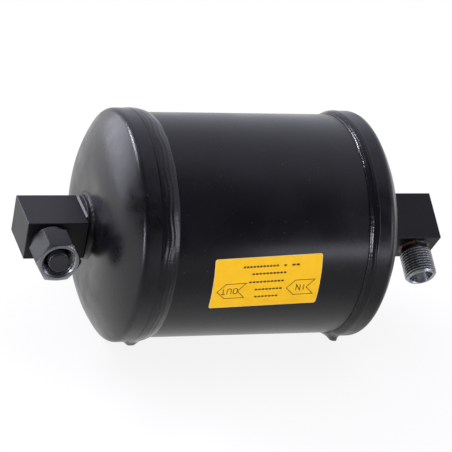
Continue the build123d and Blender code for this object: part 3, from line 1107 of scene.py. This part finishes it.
    def neck_weld(self, end: End) -> Surface:
        """Fillet of weld in the corner of neck and crown: a hollow quarter arc whose legs swell and shrink.

        Args:
            end: which end of the vessel.

        Returns:
            The closed ring.
        """
        a = round_angles(480)
        leg = self.neck_weld_leg * (1 + 0.10 * ripples(a, 9, end.seed + 6) + 0.05 * ripples(a, 50, end.seed + 7))
        q = np.radians(np.linspace(0, 90, 9))[:, None]
        radius = self.neck_radius + leg * (1 - np.sin(q)) * self.neck_weld_spread
        height = end.crown_top + leg * (1 - np.cos(q))
        hollow = np.stack([radius, height], axis=-1)
        root = np.stack([np.full_like(a, self.neck_radius - 0.1), np.full_like(a, end.crown_top - 0.1)], axis=-1)[None]
        toe = np.stack([radius[0], np.full_like(a, end.crown_top - 0.3)], axis=-1)[None]
        tip = np.stack([np.full_like(a, self.neck_radius - 0.1), height[-1]], axis=-1)[None]
        section = np.concatenate([toe, hollow, tip, root])
        section[..., 1] *= end.side
        return turned(vessel_frame(), section, 480)

    def block_strips(self, end: End) -> Surface:
        """Fillets of braze in the three corners where the block stands on the neck's face.

        Each is a shallow hollow facet carried along a straight edge of the block. Its leg on the neck's
        face is at most what the face has room for: at the distance s from the edge's middle that is
        sqrt(r^2 - s^2) less the edge's distance from the neck's axis, where r is a little inside the
        neck's rim. The leg up the block shrinks with it. The facet is (1 - t)^2 A + 2 t (1 - t) C + t^2 B
        between the ends A and B of the legs, with C pulled a little towards the corner.

        Args:
            end: which end of the vessel.

        Returns:
            Three closed strips.
        """
        strips = []
        rim = self.neck_radius - self.block_rim_gap
        frame = port_frame(end.side, self.neck_face, end.port_turn)
        t = np.linspace(0, 1, 8)[:, None]
        for turn, away in ((0.0, self.block_half_width), (180.0, self.block_half_width), (90.0, self.block_back)):
            s = math.sqrt(rim ** 2 - away ** 2) * np.sin(np.radians(np.linspace(-90, 90, 61)))
            leg = np.clip(np.sqrt(rim ** 2 - s ** 2) - away, 0, self.block_leg)
            leg = leg * (1 + 0.05 * np.sin(1.9 * s + end.seed) + 0.03 * np.sin(4.7 * s))
            rise = leg * self.block_rise / self.block_leg
            pull = 2 * t * (1 - t) * self.block_pull
            out = np.concatenate([leg[None], leg * ((1 - t) ** 2 + pull), -0.1 * leg[None], -leg[None]]) + away
            up = np.concatenate([-0.06 * leg[None], rise * (t ** 2 + pull), rise[None], -0.06 * leg[None]])
            c, d = math.cos(math.radians(turn)), math.sin(math.radians(turn))
            run = np.broadcast_to(s, out.shape)
            local = np.stack([up, out * c + run * d, -out * d + run * c], axis=-1)
            strips.append(grid_surface(frame.place(local), True, False))
        return joined(strips)

    def pieces(self) -> list[Piece]:
        """Every piece of the vessel.

        Returns:
            The shell, then each end's cap, seam bead, neck, block braze and neck fillet.
        """
        paint = Slot.BLACK_PAINT
        made = [Piece("rolled_shell", self.shell(), SHELL_ENAMEL, paint, ("shell_tube",))]
        for end in self.ends:
            for name, node, surface, finish, crease in (
                ("dished_cap", "end_cap", self.cap(end), CAP_ENAMEL, 50),
                ("seam_bead", "seam_weld", self.seam_weld(end), WELD_ENAMEL, 60),
                ("round_neck", "neck", self.neck(end), BLOCK_ENAMEL, 35),
                ("block_braze", "neck", self.block_strips(end), WELD_ENAMEL, 60),
                ("neck_fillet", "neck_weld", self.neck_weld(end), BLOCK_ENAMEL, 60),
            ):
                replaced = (f"{end.name}_{node}",)
                made.append(Piece(f"{end.name}_{name}", surface, finish, paint, replaced, crease=crease))
        return made


def braze_fillet(frame: Frame, radius: float, base: float, leg: float, seed: int) -> Surface:
    """Hollow ring of braze in the corner of a round fitting and a flat block.

    The hollow is a quarter arc from the block to the fitting, and its legs swell and shrink round it.

    Args:
        frame: the port's frame.
        radius: of the fitting.
        base: height of the block's face.
        leg: how far the ring runs along the block and up the fitting.
        seed: for its unevenness.

    Returns:
        The closed ring.
    """
    a = round_angles(180)
    size = leg * (1 + 0.16 * ripples(a, 6, seed) + 0.05 * ripples(a, 25, seed + 1))
    q = np.radians(np.linspace(0, 90, 8))[:, None]
    hollow = np.stack([radius + size * (1 - np.sin(q)), base + size * (1 - np.cos(q))], axis=-1)
    root = np.stack([np.full_like(a, radius - 0.03), np.full_like(a, base - 0.03)], axis=-1)[None]
    toe = np.stack([hollow[0, :, 0], np.full_like(a, base - 0.03)], axis=-1)[None]
    tip = np.stack([np.full_like(a, radius - 0.03), hollow[-1, :, 1]], axis=-1)[None]
    return turned(frame, np.concatenate([toe, hollow, tip, root]), 180)


@dataclass
class OutletFitting:
    """The outlet: a flanged tube that the swivel nut turns on, its sealing ring and its plug."""

    port: Frame = OUTLET_PORT
    tube_radius: float = 4.76
    tube_bore: float = 3.16
    tube_tip: float = 32.4
    flange_radius: float = 6.7
    flange_back: float = 20.1
    flange_front: float = 22.3
    groove_radius: float = 4.1
    groove_front: float = 24.3
    ring_section: float = 0.9
    plug_radius: float = 4.56
    plug_head: float = 1.0
    plug_stem: float = 7.0
    nut_half_flats: float = 9.575
    nut_back: float = 16.0
    nut_hex_back: float = 18.6
    nut_front: float = 33.0
    nut_web_top: float = 20.0
    nut_thread_back: float = 22.6
    nut_shoulder: float = 9.3
    nut_bore: float = 4.84
    nut_face_radius: float = 9.35
    nut_face_slope: float = 0.586
    nut_mouth_radius: float = 8.2
    nut_liner_radius: float = 8.6
    thread_crest: float = 7.15
    thread_root: float = 7.94
    corner_sharpness: float = 70.0
    tube_break: float = 0.3
    nut_break: float = 0.22
    nut_edge: float = 0.08
    nut_liner_lip: float = 1.6

    def hexagon(self, angle: Array) -> Array:
        """Radius of a hexagon with softened corners and a corner at angle 0.

        It is half_flats (sum over the flats of max(cos(angle - flat), 0)^p)^(-1 / p): the soft least of
        the distances to the six flats, which leaves the flats flat and rounds the corners a little.

        Args:
            angle: in radians.

        Returns:
            The radius at each angle.
        """
        flats = np.radians(30 + 60 * np.arange(6))
        facing = np.maximum(np.cos(angle[:, None] - flats), 0) ** self.corner_sharpness
        return self.nut_half_flats * facing.sum(axis=1) ** (-1 / self.corner_sharpness)

    def tube(self) -> Surface:
        """Turned tube: foot, flange, ring groove and tip.

        Returns:
            The closed tube.
        """
        section = np.array([
            (self.tube_bore, SOCKET_BOTTOM),
            (self.tube_radius, SOCKET_BOTTOM),
            (self.tube_radius, self.flange_back),
            (self.flange_radius, self.flange_back),
            (self.flange_radius, self.flange_front),
            (self.groove_radius, self.flange_front),
            (self.groove_radius, self.groove_front),
            (self.tube_radius, self.groove_front),
            (self.tube_radius, self.tube_tip),
            (self.tube_bore, self.tube_tip),
        ])
        return turned(self.port, eased(section, self.tube_break), 144)

    def ring(self) -> Surface:
        """Sealing ring: a circle carried round the tube, in its groove."""
        centre = (self.groove_radius + self.ring_section, self.flange_front + self.ring_section)
        return turned(self.port, arc(centre, self.ring_section, 0, 337.5, 16), 96)

    def plug(self) -> Surface:
        """Push-in plug: a head with a shallow moulded dish and a stem in the tube, as one turned outline.

        Returns:
            The plug, closed at its two poles.
        """
        top = self.tube_tip + self.plug_head
        section = np.concatenate([
            [(0, top - 0.12), (3.3, top - 0.12)],
            arc((3.5, top - 0.1), 0.1, 180, 90, 4),
            arc((self.plug_radius - 0.3, top - 0.3), 0.3, 90, 0, 5),
            [(self.plug_radius, self.tube_tip + 0.02), (self.tube_bore - 0.04, self.tube_tip + 0.02)],
            [(self.tube_bore - 0.04, self.tube_tip - self.plug_stem), (0, self.tube_tip - self.plug_stem)],
        ])
        return turned(self.port, section, 120, closed=False)

    def cone_height(self, radius: Array) -> Array:
        """Height at which the nut's turned face has fallen back at a radius."""
        return self.nut_front - self.nut_face_slope * (radius - self.nut_face_radius)

    def nut_body(self) -> Surface:
        """Painted outside of the nut: round shoulder, back chamfer and six flats, hollow for its liner.

        The section's outer corners follow the hexagon's radius at each angle, and the face's cone gives
        their heights.

        Returns:
            The closed outside.
        """
        columns = 360
        hexagon = self.hexagon(round_angles(columns))
        front = self.cone_height(hexagon)
        back = self.nut_hex_back + self.nut_front - front
        even = np.ones(columns)
        rows = [
            (self.nut_bore * even, self.nut_back * even),
            (self.nut_shoulder * even, self.nut_back * even),
            (self.nut_shoulder * even, self.nut_hex_back * even),
            (hexagon, back),
            (hexagon, front),
            (self.nut_liner_radius * even, (self.nut_front - self.nut_liner_lip) * even),
            (self.nut_liner_radius * even, self.nut_web_top * even),
            (self.nut_bore * even, self.nut_web_top * even),
        ]
        section = np.stack([np.stack(row, axis=-1) for row in rows])
        return turned(self.port, eased(section, self.nut_break), columns)

    def nut_liner(self) -> Surface:
        """Bare inside of the nut: turned face, mouth and thread.

        The inside radius is the larger of the thread's, root - (root - crest) (1 - depth), and the
        mouth's cone, mouth radius less the distance from the face.

        Returns:
            The closed liner.
        """
        columns = 288
        a = round_angles(columns)
        even, edge = np.ones(columns), self.nut_edge
        rim = self.hexagon(a) - 0.05
        z = np.arange(self.nut_front - 0.02, self.nut_thread_back, -THREAD_PITCH / 16)[:, None] * even
        depth = thread_depth(a[None], z, THREAD_PITCH)
        cut = self.thread_crest + (self.thread_root - self.thread_crest) * depth
        inside = np.maximum(cut, self.nut_mouth_radius - 0.15 - (self.nut_front - z))
        face = [
            (rim, self.cone_height(rim) + 0.01),
            ((rim + self.nut_face_radius) / 2, self.cone_height((rim + self.nut_face_radius) / 2)),
            ((self.nut_face_radius + edge) * even, self.cone_height(self.nut_face_radius + edge) * even),
            ((self.nut_face_radius - edge) * even, self.nut_front * even),
            ((self.nut_mouth_radius + edge) * even, self.nut_front * even),
        ]
        back = [
            (self.thread_root * even, self.nut_web_top * even),
            (self.nut_liner_radius * even, self.nut_web_top * even),
            (self.nut_liner_radius * even, (self.nut_front - self.nut_liner_lip) * even),
        ]
        head = np.stack([np.stack(row, axis=-1) for row in face])
        tail = np.stack([np.stack(row, axis=-1) for row in back])
        section = np.concatenate([head, np.stack([inside, z], axis=-1), tail])
        return turned(self.port, section, columns)

    def pieces(self) -> list[Piece]:
        """Every piece of the outlet.

        Returns:
            The tube, its braze, ring and plug, and the nut's two pieces.
        """
        nut = ("outlet_swivel_nut",)
        fillet = braze_fillet(self.port, self.tube_radius, BLOCK_FACE, BRAZE_LEG, 31)
        return [
            Piece("outlet_turned_tube", self.tube(), TUBE_TURNED, Slot.ZINC_STEEL, ("outlet_tube",)),
            Piece("outlet_braze", fillet, OUTLET_BRAZE, Slot.COPPER_BRAZE, ("outlet_braze_ring",), crease=60),
            Piece("outlet_rubber_ring", self.ring(), RUBBER, Slot.BLACK_RUBBER, ("outlet_sealing_ring",)),
            Piece("outlet_push_plug", self.plug(), PLUG_PLASTIC, Slot.GREY_PLASTIC, ("outlet_plug",)),
            Piece("swivel_nut_body", self.nut_body(), BLOCK_ENAMEL, Slot.BLACK_PAINT, nut, Body.NUT, 30),
            Piece("swivel_nut_thread", self.nut_liner(), NUT_TURNED, Slot.ZINC_STEEL, nut, Body.NUT, 40),
        ]


@dataclass
class InletConnector:
    """The inlet: a threaded connector with an undercut neck, a wide bore and a seat in it."""

    port: Frame = INLET_PORT
    spigot_radius: float = 6.0
    neck_radius: float = 6.7
    thread_start: float = 17.6
    thread_tip: float = 31.4
    crest_radius: float = 7.94
    root_radius: float = 7.12
    root_chamfer: float = 0.7
    tip_chamfer: float = 1.2
    bore_radius: float = 5.6
    bore_depth: float = 7.0
    mouth_radius: float = 6.1
    mouth_depth: float = 0.6
    passage_radius: float = 4.0

    def connector(self) -> Surface:
        """The whole turned connector as one closed section.

        On the thread the radius is the least of the thread's, crest - (crest - root) depth, and the two
        chamfer cones at its ends.

        Returns:
            The closed connector.
        """
        columns = 216
        a = round_angles(columns)
        even = np.ones(columns)
        z = np.arange(self.thread_start, self.thread_tip, THREAD_PITCH / 16)[:, None] * even
        cut = self.crest_radius - (self.crest_radius - self.root_radius) * thread_depth(a[None], z, THREAD_PITCH)
        start_cone = self.crest_radius - self.root_chamfer + (z - self.thread_start)
        tip_cone = self.crest_radius - self.tip_chamfer + (self.thread_tip - z)
        outside = np.minimum(np.minimum(cut, start_cone), tip_cone)
        seat_top = self.thread_tip - self.bore_depth
        foot = [
            (self.passage_radius, SOCKET_BOTTOM),
            (self.spigot_radius, SOCKET_BOTTOM),
            (self.spigot_radius, BLOCK_FACE - 0.02),
            (self.neck_radius, BLOCK_FACE - 0.02),
            (self.neck_radius, BLOCK_FACE + 0.3),
            (self.neck_radius, self.thread_start - 0.35),
            (self.neck_radius + 0.1, self.thread_start - 0.08),
        ]
        bore = [
            (self.crest_radius - self.tip_chamfer, self.thread_tip - 0.02),
            (self.crest_radius - self.tip_chamfer - 0.1, self.thread_tip),
            (self.mouth_radius + 0.08, self.thread_tip),
            (self.mouth_radius, self.thread_tip - 0.06),
            (self.bore_radius + 0.05, self.thread_tip - self.mouth_depth),
            (self.bore_radius, self.thread_tip - self.mouth_depth - 0.12),
            (self.bore_radius, seat_top + 0.1),
            (self.bore_radius - 0.06, seat_top),
            (self.passage_radius + 0.06, seat_top - 1.5),
            (self.passage_radius, seat_top - 1.7),
        ]
        head = np.array(foot)[:, None] * np.ones((1, columns, 1))
        tail = np.array(bore)[:, None] * np.ones((1, columns, 1))
        section = np.concatenate([head, np.stack([outside, z], axis=-1), tail])
        return turned(self.port, section, columns)

    def pieces(self) -> list[Piece]:
        """The connector and its braze.

        Returns:
            Two pieces.
        """
        fillet = braze_fillet(self.port, self.neck_radius, BLOCK_FACE, BRAZE_LEG, 41)
        turned_part, node = self.connector(), ("inlet_connector",)
        return [
            Piece("inlet_threaded_connector", turned_part, CONNECTOR_TURNED, Slot.ZINC_STEEL, node, crease=40),
            Piece("inlet_braze", fillet, INLET_BRAZE, Slot.COPPER_BRAZE, ("inlet_braze_ring",), crease=60),
        ]


class Letter(Enum):
    """Strokes of the letters of the flow words, 1 high and 0.62 wide."""

    I = (((0.0, 0.0), (0.0, 1.0)),)
    N = (((0.0, 0.0), (0.0, 1.0), (0.62, 0.0), (0.62, 1.0)),)
    O = ((
        (0.2, 0.0), (0.0, 0.2), (0.0, 0.8), (0.2, 1.0), (0.42, 1.0), (0.62, 0.8), (0.62, 0.2), (0.42, 0.0), (0.2, 0.0),
    ),)
    U = (((0.0, 1.0), (0.0, 0.2), (0.2, 0.0), (0.42, 0.0), (0.62, 0.2), (0.62, 1.0)),)
    T = (((0.31, 0.0), (0.31, 1.0)), ((0.0, 1.0), (0.62, 1.0)))


@dataclass
class FlowLabel:
    """The yellow label on the shell, with flow arrows and plain bars where small print would be.

    Places on the label are (u, v) in mm from its middle: u along it towards the inlet, v downwards.
    """

    length: float = 53.3
    height: float = 27.1
    thickness: float = 0.2
    corner: float = 1.2
    turn: float = 1.2
    tilt: float = 2.7
    ink_height: float = 0.03
    line_width: float = 0.32
    letter_width: float = 0.4
    bar_width: float = 0.9
    arrow_length: float = 13.9
    arrow_half_height: float = 4.1
    arrow_shoulder: float = 4.1
    arrow_notch: float = 3.9
    arrow_tips: tuple[tuple[float, float], ...] = ((10.0, 3.45), (-24.3, 3.55))
    letter_height: float = 3.1
    letters: tuple[tuple[Letter, int, float], ...] = (
        (Letter.I, 0, 8.7), (Letter.N, 0, 6.9), (Letter.O, 1, 10.0), (Letter.U, 1, 7.0), (Letter.T, 1, 4.1),
    )
    bars: tuple[tuple[float, float, float], ...] = (
        (-12.7, 5.2, -8.9), (7.5, 9.2, -8.8), (11.5, 15.7, -8.8), (-8.0, 9.3, -5.2),
        (-9.1, 8.6, -0.9), (-5.7, 8.2, 3.3), (-5.2, 6.8, 7.5),
    )
    bar_cell: float = 1.7
    bar_gap: float = 0.5

    def wrap(self, u: Array, v: Array, lift: float) -> Array:
        """Lays label places on the shell.

        The label is tilted in its own plane, then u becomes the distance along the axis and v the arc
        length round the shell, at shell radius + lift.

        Args:
            u: along the label, in mm.
            v: down the label, in mm.
            lift: above the shell, in mm.

        Returns:
            Places in the vessel's frame.
        """
        t = math.radians(self.tilt)
        x = u * math.cos(t) + v * math.sin(t)
        down = -u * math.sin(t) + v * math.cos(t)
        angle = down / SHELL_RADIUS - math.radians(self.turn)
        radius = SHELL_RADIUS + lift
        return np.stack([x, -radius * np.cos(angle), -radius * np.sin(angle)], axis=-1)

    def film(self, inset: float, low: float, high: float) -> Surface:
        """Thin curved sheet with round corners.

        Its half height falls near each end as the corner's circle does: h - (c - sqrt(c^2 - d^2)), where
        d is how far a place is past the start of the corner.

        Args:
            inset: how much smaller than the label it is on each side, in mm.
            low: height of its back above the shell, in mm.
            high: height of its face.

        Returns:
            The closed sheet.
        """
        across = 25
        half, tall, corner = self.length / 2 - inset, self.height / 2 - inset, self.corner
        ends = half - corner * (1 - np.sin(np.radians(np.linspace(0, 90, 9))))
        u = np.concatenate([-ends[::-1], np.linspace(-ends[0], ends[0], 41)[1:-1], ends])[:, None]
        past = np.clip(np.abs(u) - (half - corner), 0, corner)
        reach = tall - corner + np.sqrt(np.maximum(corner ** 2 - past ** 2, 0))
        t = np.linspace(-1, 1, across)[None]
        over = self.wrap(u * np.ones_like(t), reach * t, high)
        under = self.wrap(u * np.ones_like(t), reach * t, low)
        around = np.concatenate([over, under[:, ::-1]], axis=1)
        ring = grid_surface(around, False, True)
        first = np.concatenate([around[:1], around[:1, ::-1]], axis=0)[:, :across]
        last = np.concatenate([around[-1:], around[-1:, ::-1]], axis=0)[:, :across]
        return joined([ring, grid_surface(first, False, False), grid_surface(last, False, False)])

    def inked(self, path: Array, width: float, closed: bool) -> Surface:
        """A line of ink: a flat rectangle carried along a path on the label.

        At each point the width runs along the mitre of the two runs that meet there, which is the sum of
        their normals over 1 + the cosine between them.

        Args:
            path: corners x 2, as (u, v).
            width: of the line, in mm.
            closed: whether the last corner joins the first.

        Returns:
            The closed line.
        """
        corners = np.concatenate([path, path[:1]]) if closed else path
        line = refined(corners, 0.9)
        line = line[:-1] if closed else line
        run = np.roll(line, -1, axis=0) - line
        if not closed:
            run[-1] = run[-2]
        run /= np.linalg.norm(run, axis=1, keepdims=True)
        before = np.roll(run, 1, axis=0)
        if not closed:
            before[0] = run[0]
        normal, earlier = run[:, ::-1] * (-1, 1), before[:, ::-1] * (-1, 1)
        mitre = (normal + earlier) / (1 + np.sum(normal * earlier, axis=1, keepdims=True))
        left, right = line + mitre * width / 2, line - mitre * width / 2
        low, high = self.thickness - 0.02, self.thickness + self.ink_height
        section = np.stack([
            self.wrap(left[:, 0], left[:, 1], low),
            self.wrap(left[:, 0], left[:, 1], high),
            self.wrap(right[:, 0], right[:, 1], high),
            self.wrap(right[:, 0], right[:, 1], low),
        ], axis=1)
        side = grid_surface(section, closed, True)
        if closed:
            return side
        caps = [section[[k, k]][:, :2] for k in (0, -1)]
        for cap, k in zip(caps, (0, -1)):
            cap[1] = section[k, [3, 2]]
        return joined([side] + [grid_surface(cap, False, False) for cap in caps])

    def arrow(self, tip: tuple[float, float]) -> Array:
        """Outline of a swallow-tailed arrow that points along -u from its tail to its tip.

        Args:
            tip: (u, v) of its tip.

        Returns:
            Six corners.
        """
        u, v = tip
        tail, tall = u + self.arrow_length, self.arrow_half_height
        return np.array([
            (u, v), (u + self.arrow_shoulder, v - tall), (tail, v - tall), (tail - self.arrow_notch, v),
            (tail, v + tall), (u + self.arrow_shoulder, v + tall),
        ])

    def letter(self, strokes: Strokes, u: float, v: float) -> list[Surface]:
        """Strokes of a letter that stands on its head, since the label is stuck on upside down.

        A stroke's points count from the letter's lower left corner, 1 being its height.

        Args:
            strokes: the letter's strokes.
            u: of the letter's left edge as it is read.
            v: of its middle.

        Returns:
            A closed line for each stroke.
        """
        size = self.letter_height
        return [
            self.inked(np.array([(u - x * size, v + (y - 0.5) * size) for x, y in stroke]), self.letter_width, False)
            for stroke in strokes
        ]

    def print_work(self) -> Surface:
        """All the ink: two arrows, the words IN and OUT, and rows of short bars.

        Returns:
            Every line of ink as one surface.
        """
        made = [self.inked(self.arrow(tip), self.line_width, True) for tip in self.arrow_tips]
        for letter, arrow, along in self.letters:
            u, v = self.arrow_tips[arrow]
            made += self.letter(letter.value, u + along, v)
        for start, stop, v in self.bars:
            count = max(1, round((stop - start) / self.bar_cell))
            edges = np.linspace(start, stop, count + 1)
            for left, right in zip(edges[:-1], edges[1:]):
                made.append(self.inked(np.array([(left, v), (right - self.bar_gap, v)]), self.bar_width, False))
        return joined(made)

    def pieces(self) -> list[Piece]:
        """The film's pale cut edge, its yellow face and the ink.

        Returns:
            Three pieces, each a little higher than the one before.
        """
        node, slot = ("flow_label",), Slot.YELLOW_LABEL
        return [
            Piece("label_film_base", self.film(0.0, -0.02, self.thickness - 0.03), FILM_EDGE, slot, node),
            Piece("label_yellow_face", self.film(0.12, 0.05, self.thickness), FILM, slot, node),
            Piece("label_print", self.print_work(), INK, slot, node),
        ]


@dataclass
class InnerWorks:
    """The solids that stay as the CAD made them, with their real finishes: the blocks and all inside."""

    finishes: tuple[tuple[str, Finish], ...] = (
        ("outlet_block", BLOCK_ENAMEL), ("inlet_block", BLOCK_ENAMEL),
        ("outlet_perforated_cup", SHEET), ("inlet_perforated_cup", SHEET),
        ("outlet_gauze", GAUZE), ("inlet_gauze", GAUZE),
        ("outlet_filter_pad", FELT), ("inlet_filter_pad", FELT),
        ("desiccant_bed", BEADS), ("pressure_spring", SHEET), ("pickup_tube", SHEET),
    )

    def dress_all(self, nodes: dict[str, bpy.types.Object]) -> None:
        """Gives each of these CAD nodes its finish."""
        for name, finish in self.finishes:
            dress(nodes[name], finish)


@dataclass(frozen=True)
class Softbox:
    """A soft area lamp: where it stands and its size, in m, and its power in W. It looks at the vessel."""

    name: str
    place: tuple[float, float, float]
    size: tuple[float, float]
    power: float
    seen_in_gloss: bool = True

    def put(self) -> None:
        """Adds the lamp, turned so that it looks at the origin and its width lies level."""
        data = bpy.data.lights.new(self.name, "AREA")
        data.shape = "RECTANGLE"
        data.size, data.size_y = self.size
        data.energy = self.power
        data.color = srgb(COOL_WHITE)[:3]
        lamp = bpy.data.objects.new(self.name, data)
        back = np.array(self.place) / np.linalg.norm(self.place)
        right = np.cross((0, 0, 1), back)
        right /= np.linalg.norm(right)
        lamp.matrix_world = axes_matrix(right, np.cross(back, right), back, self.place)
        lamp.visible_glossy = self.seen_in_gloss
        bpy.context.scene.collection.objects.link(lamp)


def axes_matrix(x: Array, y: Array, z: Array, place: tuple[float, float, float]) -> Matrix:
    """Matrix whose columns are three axes and a place.

    Args:
        x: first axis.
        y: second axis.
        z: third axis.
        place: in m.

    Returns:
        The matrix that takes local places to the world's.
    """
    table = np.eye(4)
    table[:3] = np.column_stack([x, y, z, place])
    return Matrix(table.tolist())


@dataclass
class Studio:
    """Pale floor, white backdrop, soft lamps and the photograph's camera."""

    floor_height: float = -56.1
    floor_half: float = 1500.0
    floor_colour: str = "#e6e6e5"
    floor_white: float = 0.87
    floor_fade: tuple[float, float] = (0.13, 0.28)
    floor_way: tuple[float, float, float] = (-0.35, 0.94, 0.0)
    floor_shine: tuple[float, float] = (-0.12, 0.02)
    floor_front: float = 0.36
    backdrop_way: tuple[float, float, float] = (0.58, 0.81, 0.0)
    backdrop_levels: tuple[tuple[float, float], ...] = (
        (-1.0, 0.08), (-0.25, 0.08), (-0.1, 0.2), (0.1, 0.45), (0.25, 0.6), (0.5, 0.7), (0.75, 0.85), (0.9, 1.0),
        (1.0, 1.0),
    )
    fill_level: float = 0.5
    lamps: tuple[Softbox, ...] = (
        Softbox("overhead_soft", (0.1, 0.1, 1.1), (1.4, 1.0), 9.5, False),
        Softbox("front_fill", (-0.3, -1.2, 0.7), (0.9, 0.7), 1.6, False),
        Softbox("left_softbox", (-0.71, 0.71, 0.15), (0.9, 0.42), 4.3),
        Softbox("front_strip", (0.6, -0.95, 0.03), (0.5, 0.2), 1.15),
        Softbox("right_softbox", (0.93, -0.62, 0.22), (0.3, 0.54), 1.8),
        Softbox("left_front_strip", (-0.85, -0.70, 0.13), (0.09, 0.36), 3.6),
        Softbox("left_back_strip", (-0.66, 0.55, 0.66), (0.5, 0.06), 9.0),
    )
    camera_place: tuple[float, float, float] = (-0.3475, -0.7733, 0.4802)
    camera_right: tuple[float, float, float] = (0.9351, -0.3047, 0.1808)
    camera_up: tuple[float, float, float] = (0.0070, 0.5262, 0.8504)
    camera_back: tuple[float, float, float] = (-0.3543, -0.7939, 0.4942)
    camera_lens: float = 159.3
    camera_sensor: float = 36.0
    camera_reach: tuple[float, float] = (0.01, 20.0)

    def floor(self) -> None:
        """Flat white sheet under the vessel, which shows the soft shadow and turns plain white further out."""
        half = self.floor_half
        corner = np.array([[(-half, -half), (half, -half)], [(-half, half), (half, half)]])
        points = np.concatenate([corner, np.full((2, 2, 1), self.floor_height)], axis=-1)
        surface = grid_surface(points, False, False)
        mesh = bpy.data.meshes.new("studio_floor")
        mesh.from_pydata((surface.points * MM).tolist(), [], surface.quads[:, ::-1].tolist())
        mesh.materials.append(self.floor_material())
        floor = bpy.data.objects.new("studio_floor", mesh)
        bpy.context.scene.collection.objects.link(floor)

    def seen(self, tree: bpy.types.NodeTree) -> bpy.types.NodeSocket:
        """What is seen and doesn't only light.

        Args:
            tree: the node tree of the floor or the world.

        Returns:
            1 for what the camera sees, itself or in a polished or clear surface, and 0 for the rest.
        """
        path = add_node(tree, "LightPath")
        mirrored = {0: path["Is Glossy Ray"], 1: path["Is Transmission Ray"]}
        shine = add_node(tree, "Math", mirrored, operation="MAXIMUM")[0]
        return add_node(tree, "Math", {0: path["Is Camera Ray"], 1: shine}, operation="MAXIMUM")[0]

    def floor_material(self) -> bpy.types.Material:
        """White paper that keeps the vessel's shadow.

        To the camera it is mostly plain white near the vessel and wholly so further out. A shiny surface
        shows it plain white from under the vessel backwards, and grey in front, where no light falls.

        Returns:
            The material.
        """
        made = bpy.data.materials.new("white_paper_floor")
        made.use_nodes = True
        tree = made.node_tree
        tree.nodes.clear()
        where = add_node(tree, "TexCoord")["Object"]
        camera = add_node(tree, "LightPath")["Is Camera Ray"]
        far = add_node(tree, "VectorMath", {0: where}, operation="LENGTH")["Value"]
        plain = add_node(tree, "MapRange", {"Value": far, **span(*self.floor_fade, self.floor_white, 1.0)})["Result"]
        part = add_node(tree, "Mix", {0: camera, 2: 1.0, 3: plain})[0]
        lift = add_node(tree, "Math", {0: part, 1: self.seen(tree)}, operation="MULTIPLY")[0]
        behind = add_node(tree, "VectorMath", {0: where, 1: self.floor_way}, operation="DOT_PRODUCT")["Value"]
        shine = span(*self.floor_shine, self.floor_front, 1.0)
        shiny = add_node(tree, "MapRange", {"Value": behind, **shine})["Result"]
        level = add_node(tree, "Math", {0: shiny, 1: camera}, operation="MAXIMUM")[0]
        paper = add_node(tree, "BsdfDiffuse", {"Color": srgb(self.floor_colour)})[0]
        glow = add_node(tree, "Emission", {"Color": srgb("#ffffff"), "Strength": level})[0]
        shader = add_node(tree, "MixShader", {0: lift, 1: paper, 2: glow})[0]
        add_node(tree, "OutputMaterial", {"Surface": shader})
        return made

    def world(self) -> None:
        """White round the object for the camera, and for its gloss the same white behind and a dark room in front.

        The backdrop's level is a ramp of the dot product of the ray's direction and backdrop_way.
        """
        world = bpy.data.worlds.new("studio")
        bpy.context.scene.world = world
        world.use_nodes = True
        tree = world.node_tree
        tree.nodes.clear()
        direction = add_node(tree, "TexCoord")["Generated"]
        behind = add_node(tree, "VectorMath", {0: direction, 1: self.backdrop_way}, operation="DOT_PRODUCT")["Value"]
        place = add_node(tree, "MapRange", {"Value": behind, **span(-1, 1)})["Result"]
        steps = add_node(tree, "ValToRGB", {0: place})["Color"]
        band = steps.node.color_ramp.elements
        for spot, level in self.backdrop_levels:
            end = {-1.0: 0, 1.0: len(band) - 1}.get(spot)
            stop = band.new((spot + 1) / 2) if end is None else band[end]
            stop.color = (level, level, level, 1)
        camera = add_node(tree, "LightPath")["Is Camera Ray"]
        backdrop = add_node(tree, "Mix", {0: self.seen(tree), 2: self.fill_level, 3: steps})[0]
        level = add_node(tree, "Math", {0: backdrop, 1: camera}, operation="MAXIMUM")[0]
        colours = {6: srgb(COOL_WHITE), 7: srgb("#ffffff")}
        colour = add_node(tree, "Mix", {0: camera, **colours}, data_type="RGBA")[2]
        light = add_node(tree, "Background", {"Color": colour, "Strength": level})[0]
        add_node(tree, "OutputWorld", {"Surface": light})

    def camera(self) -> None:
        """The photograph's camera, whose frame is square."""
        data = bpy.data.cameras.new("photo_camera")
        data.lens, data.sensor_width = self.camera_lens, self.camera_sensor
        data.clip_start, data.clip_end = self.camera_reach
        camera = bpy.data.objects.new("photo_camera", data)
        axes = (np.array(axis) for axis in (self.camera_right, self.camera_up, self.camera_back))
        camera.matrix_world = axes_matrix(*axes, self.camera_place)
        bpy.context.scene.collection.objects.link(camera)
        bpy.context.scene.camera = camera

    def build(self) -> None:
        """Sets up the camera, the floor, the world and the lamps."""
        bpy.context.scene.view_settings.view_transform = "Standard"
        self.camera()
        self.floor()
        self.world()
        for lamp in self.lamps:
            lamp.put()


def main() -> None:
    """Builds the drier's looks on its CAD frame, then the studio round it."""
    logging.basicConfig(level=logging.INFO, format="%(message)s")
    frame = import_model()
    InnerWorks().dress_all(frame["nodes"])
    for part in (Vessel(), OutletFitting(), InletConnector(), FlowLabel()):
        for piece in part.pieces():
            piece.place()
    Studio().build()


if __name__ == "__main__":
    main()
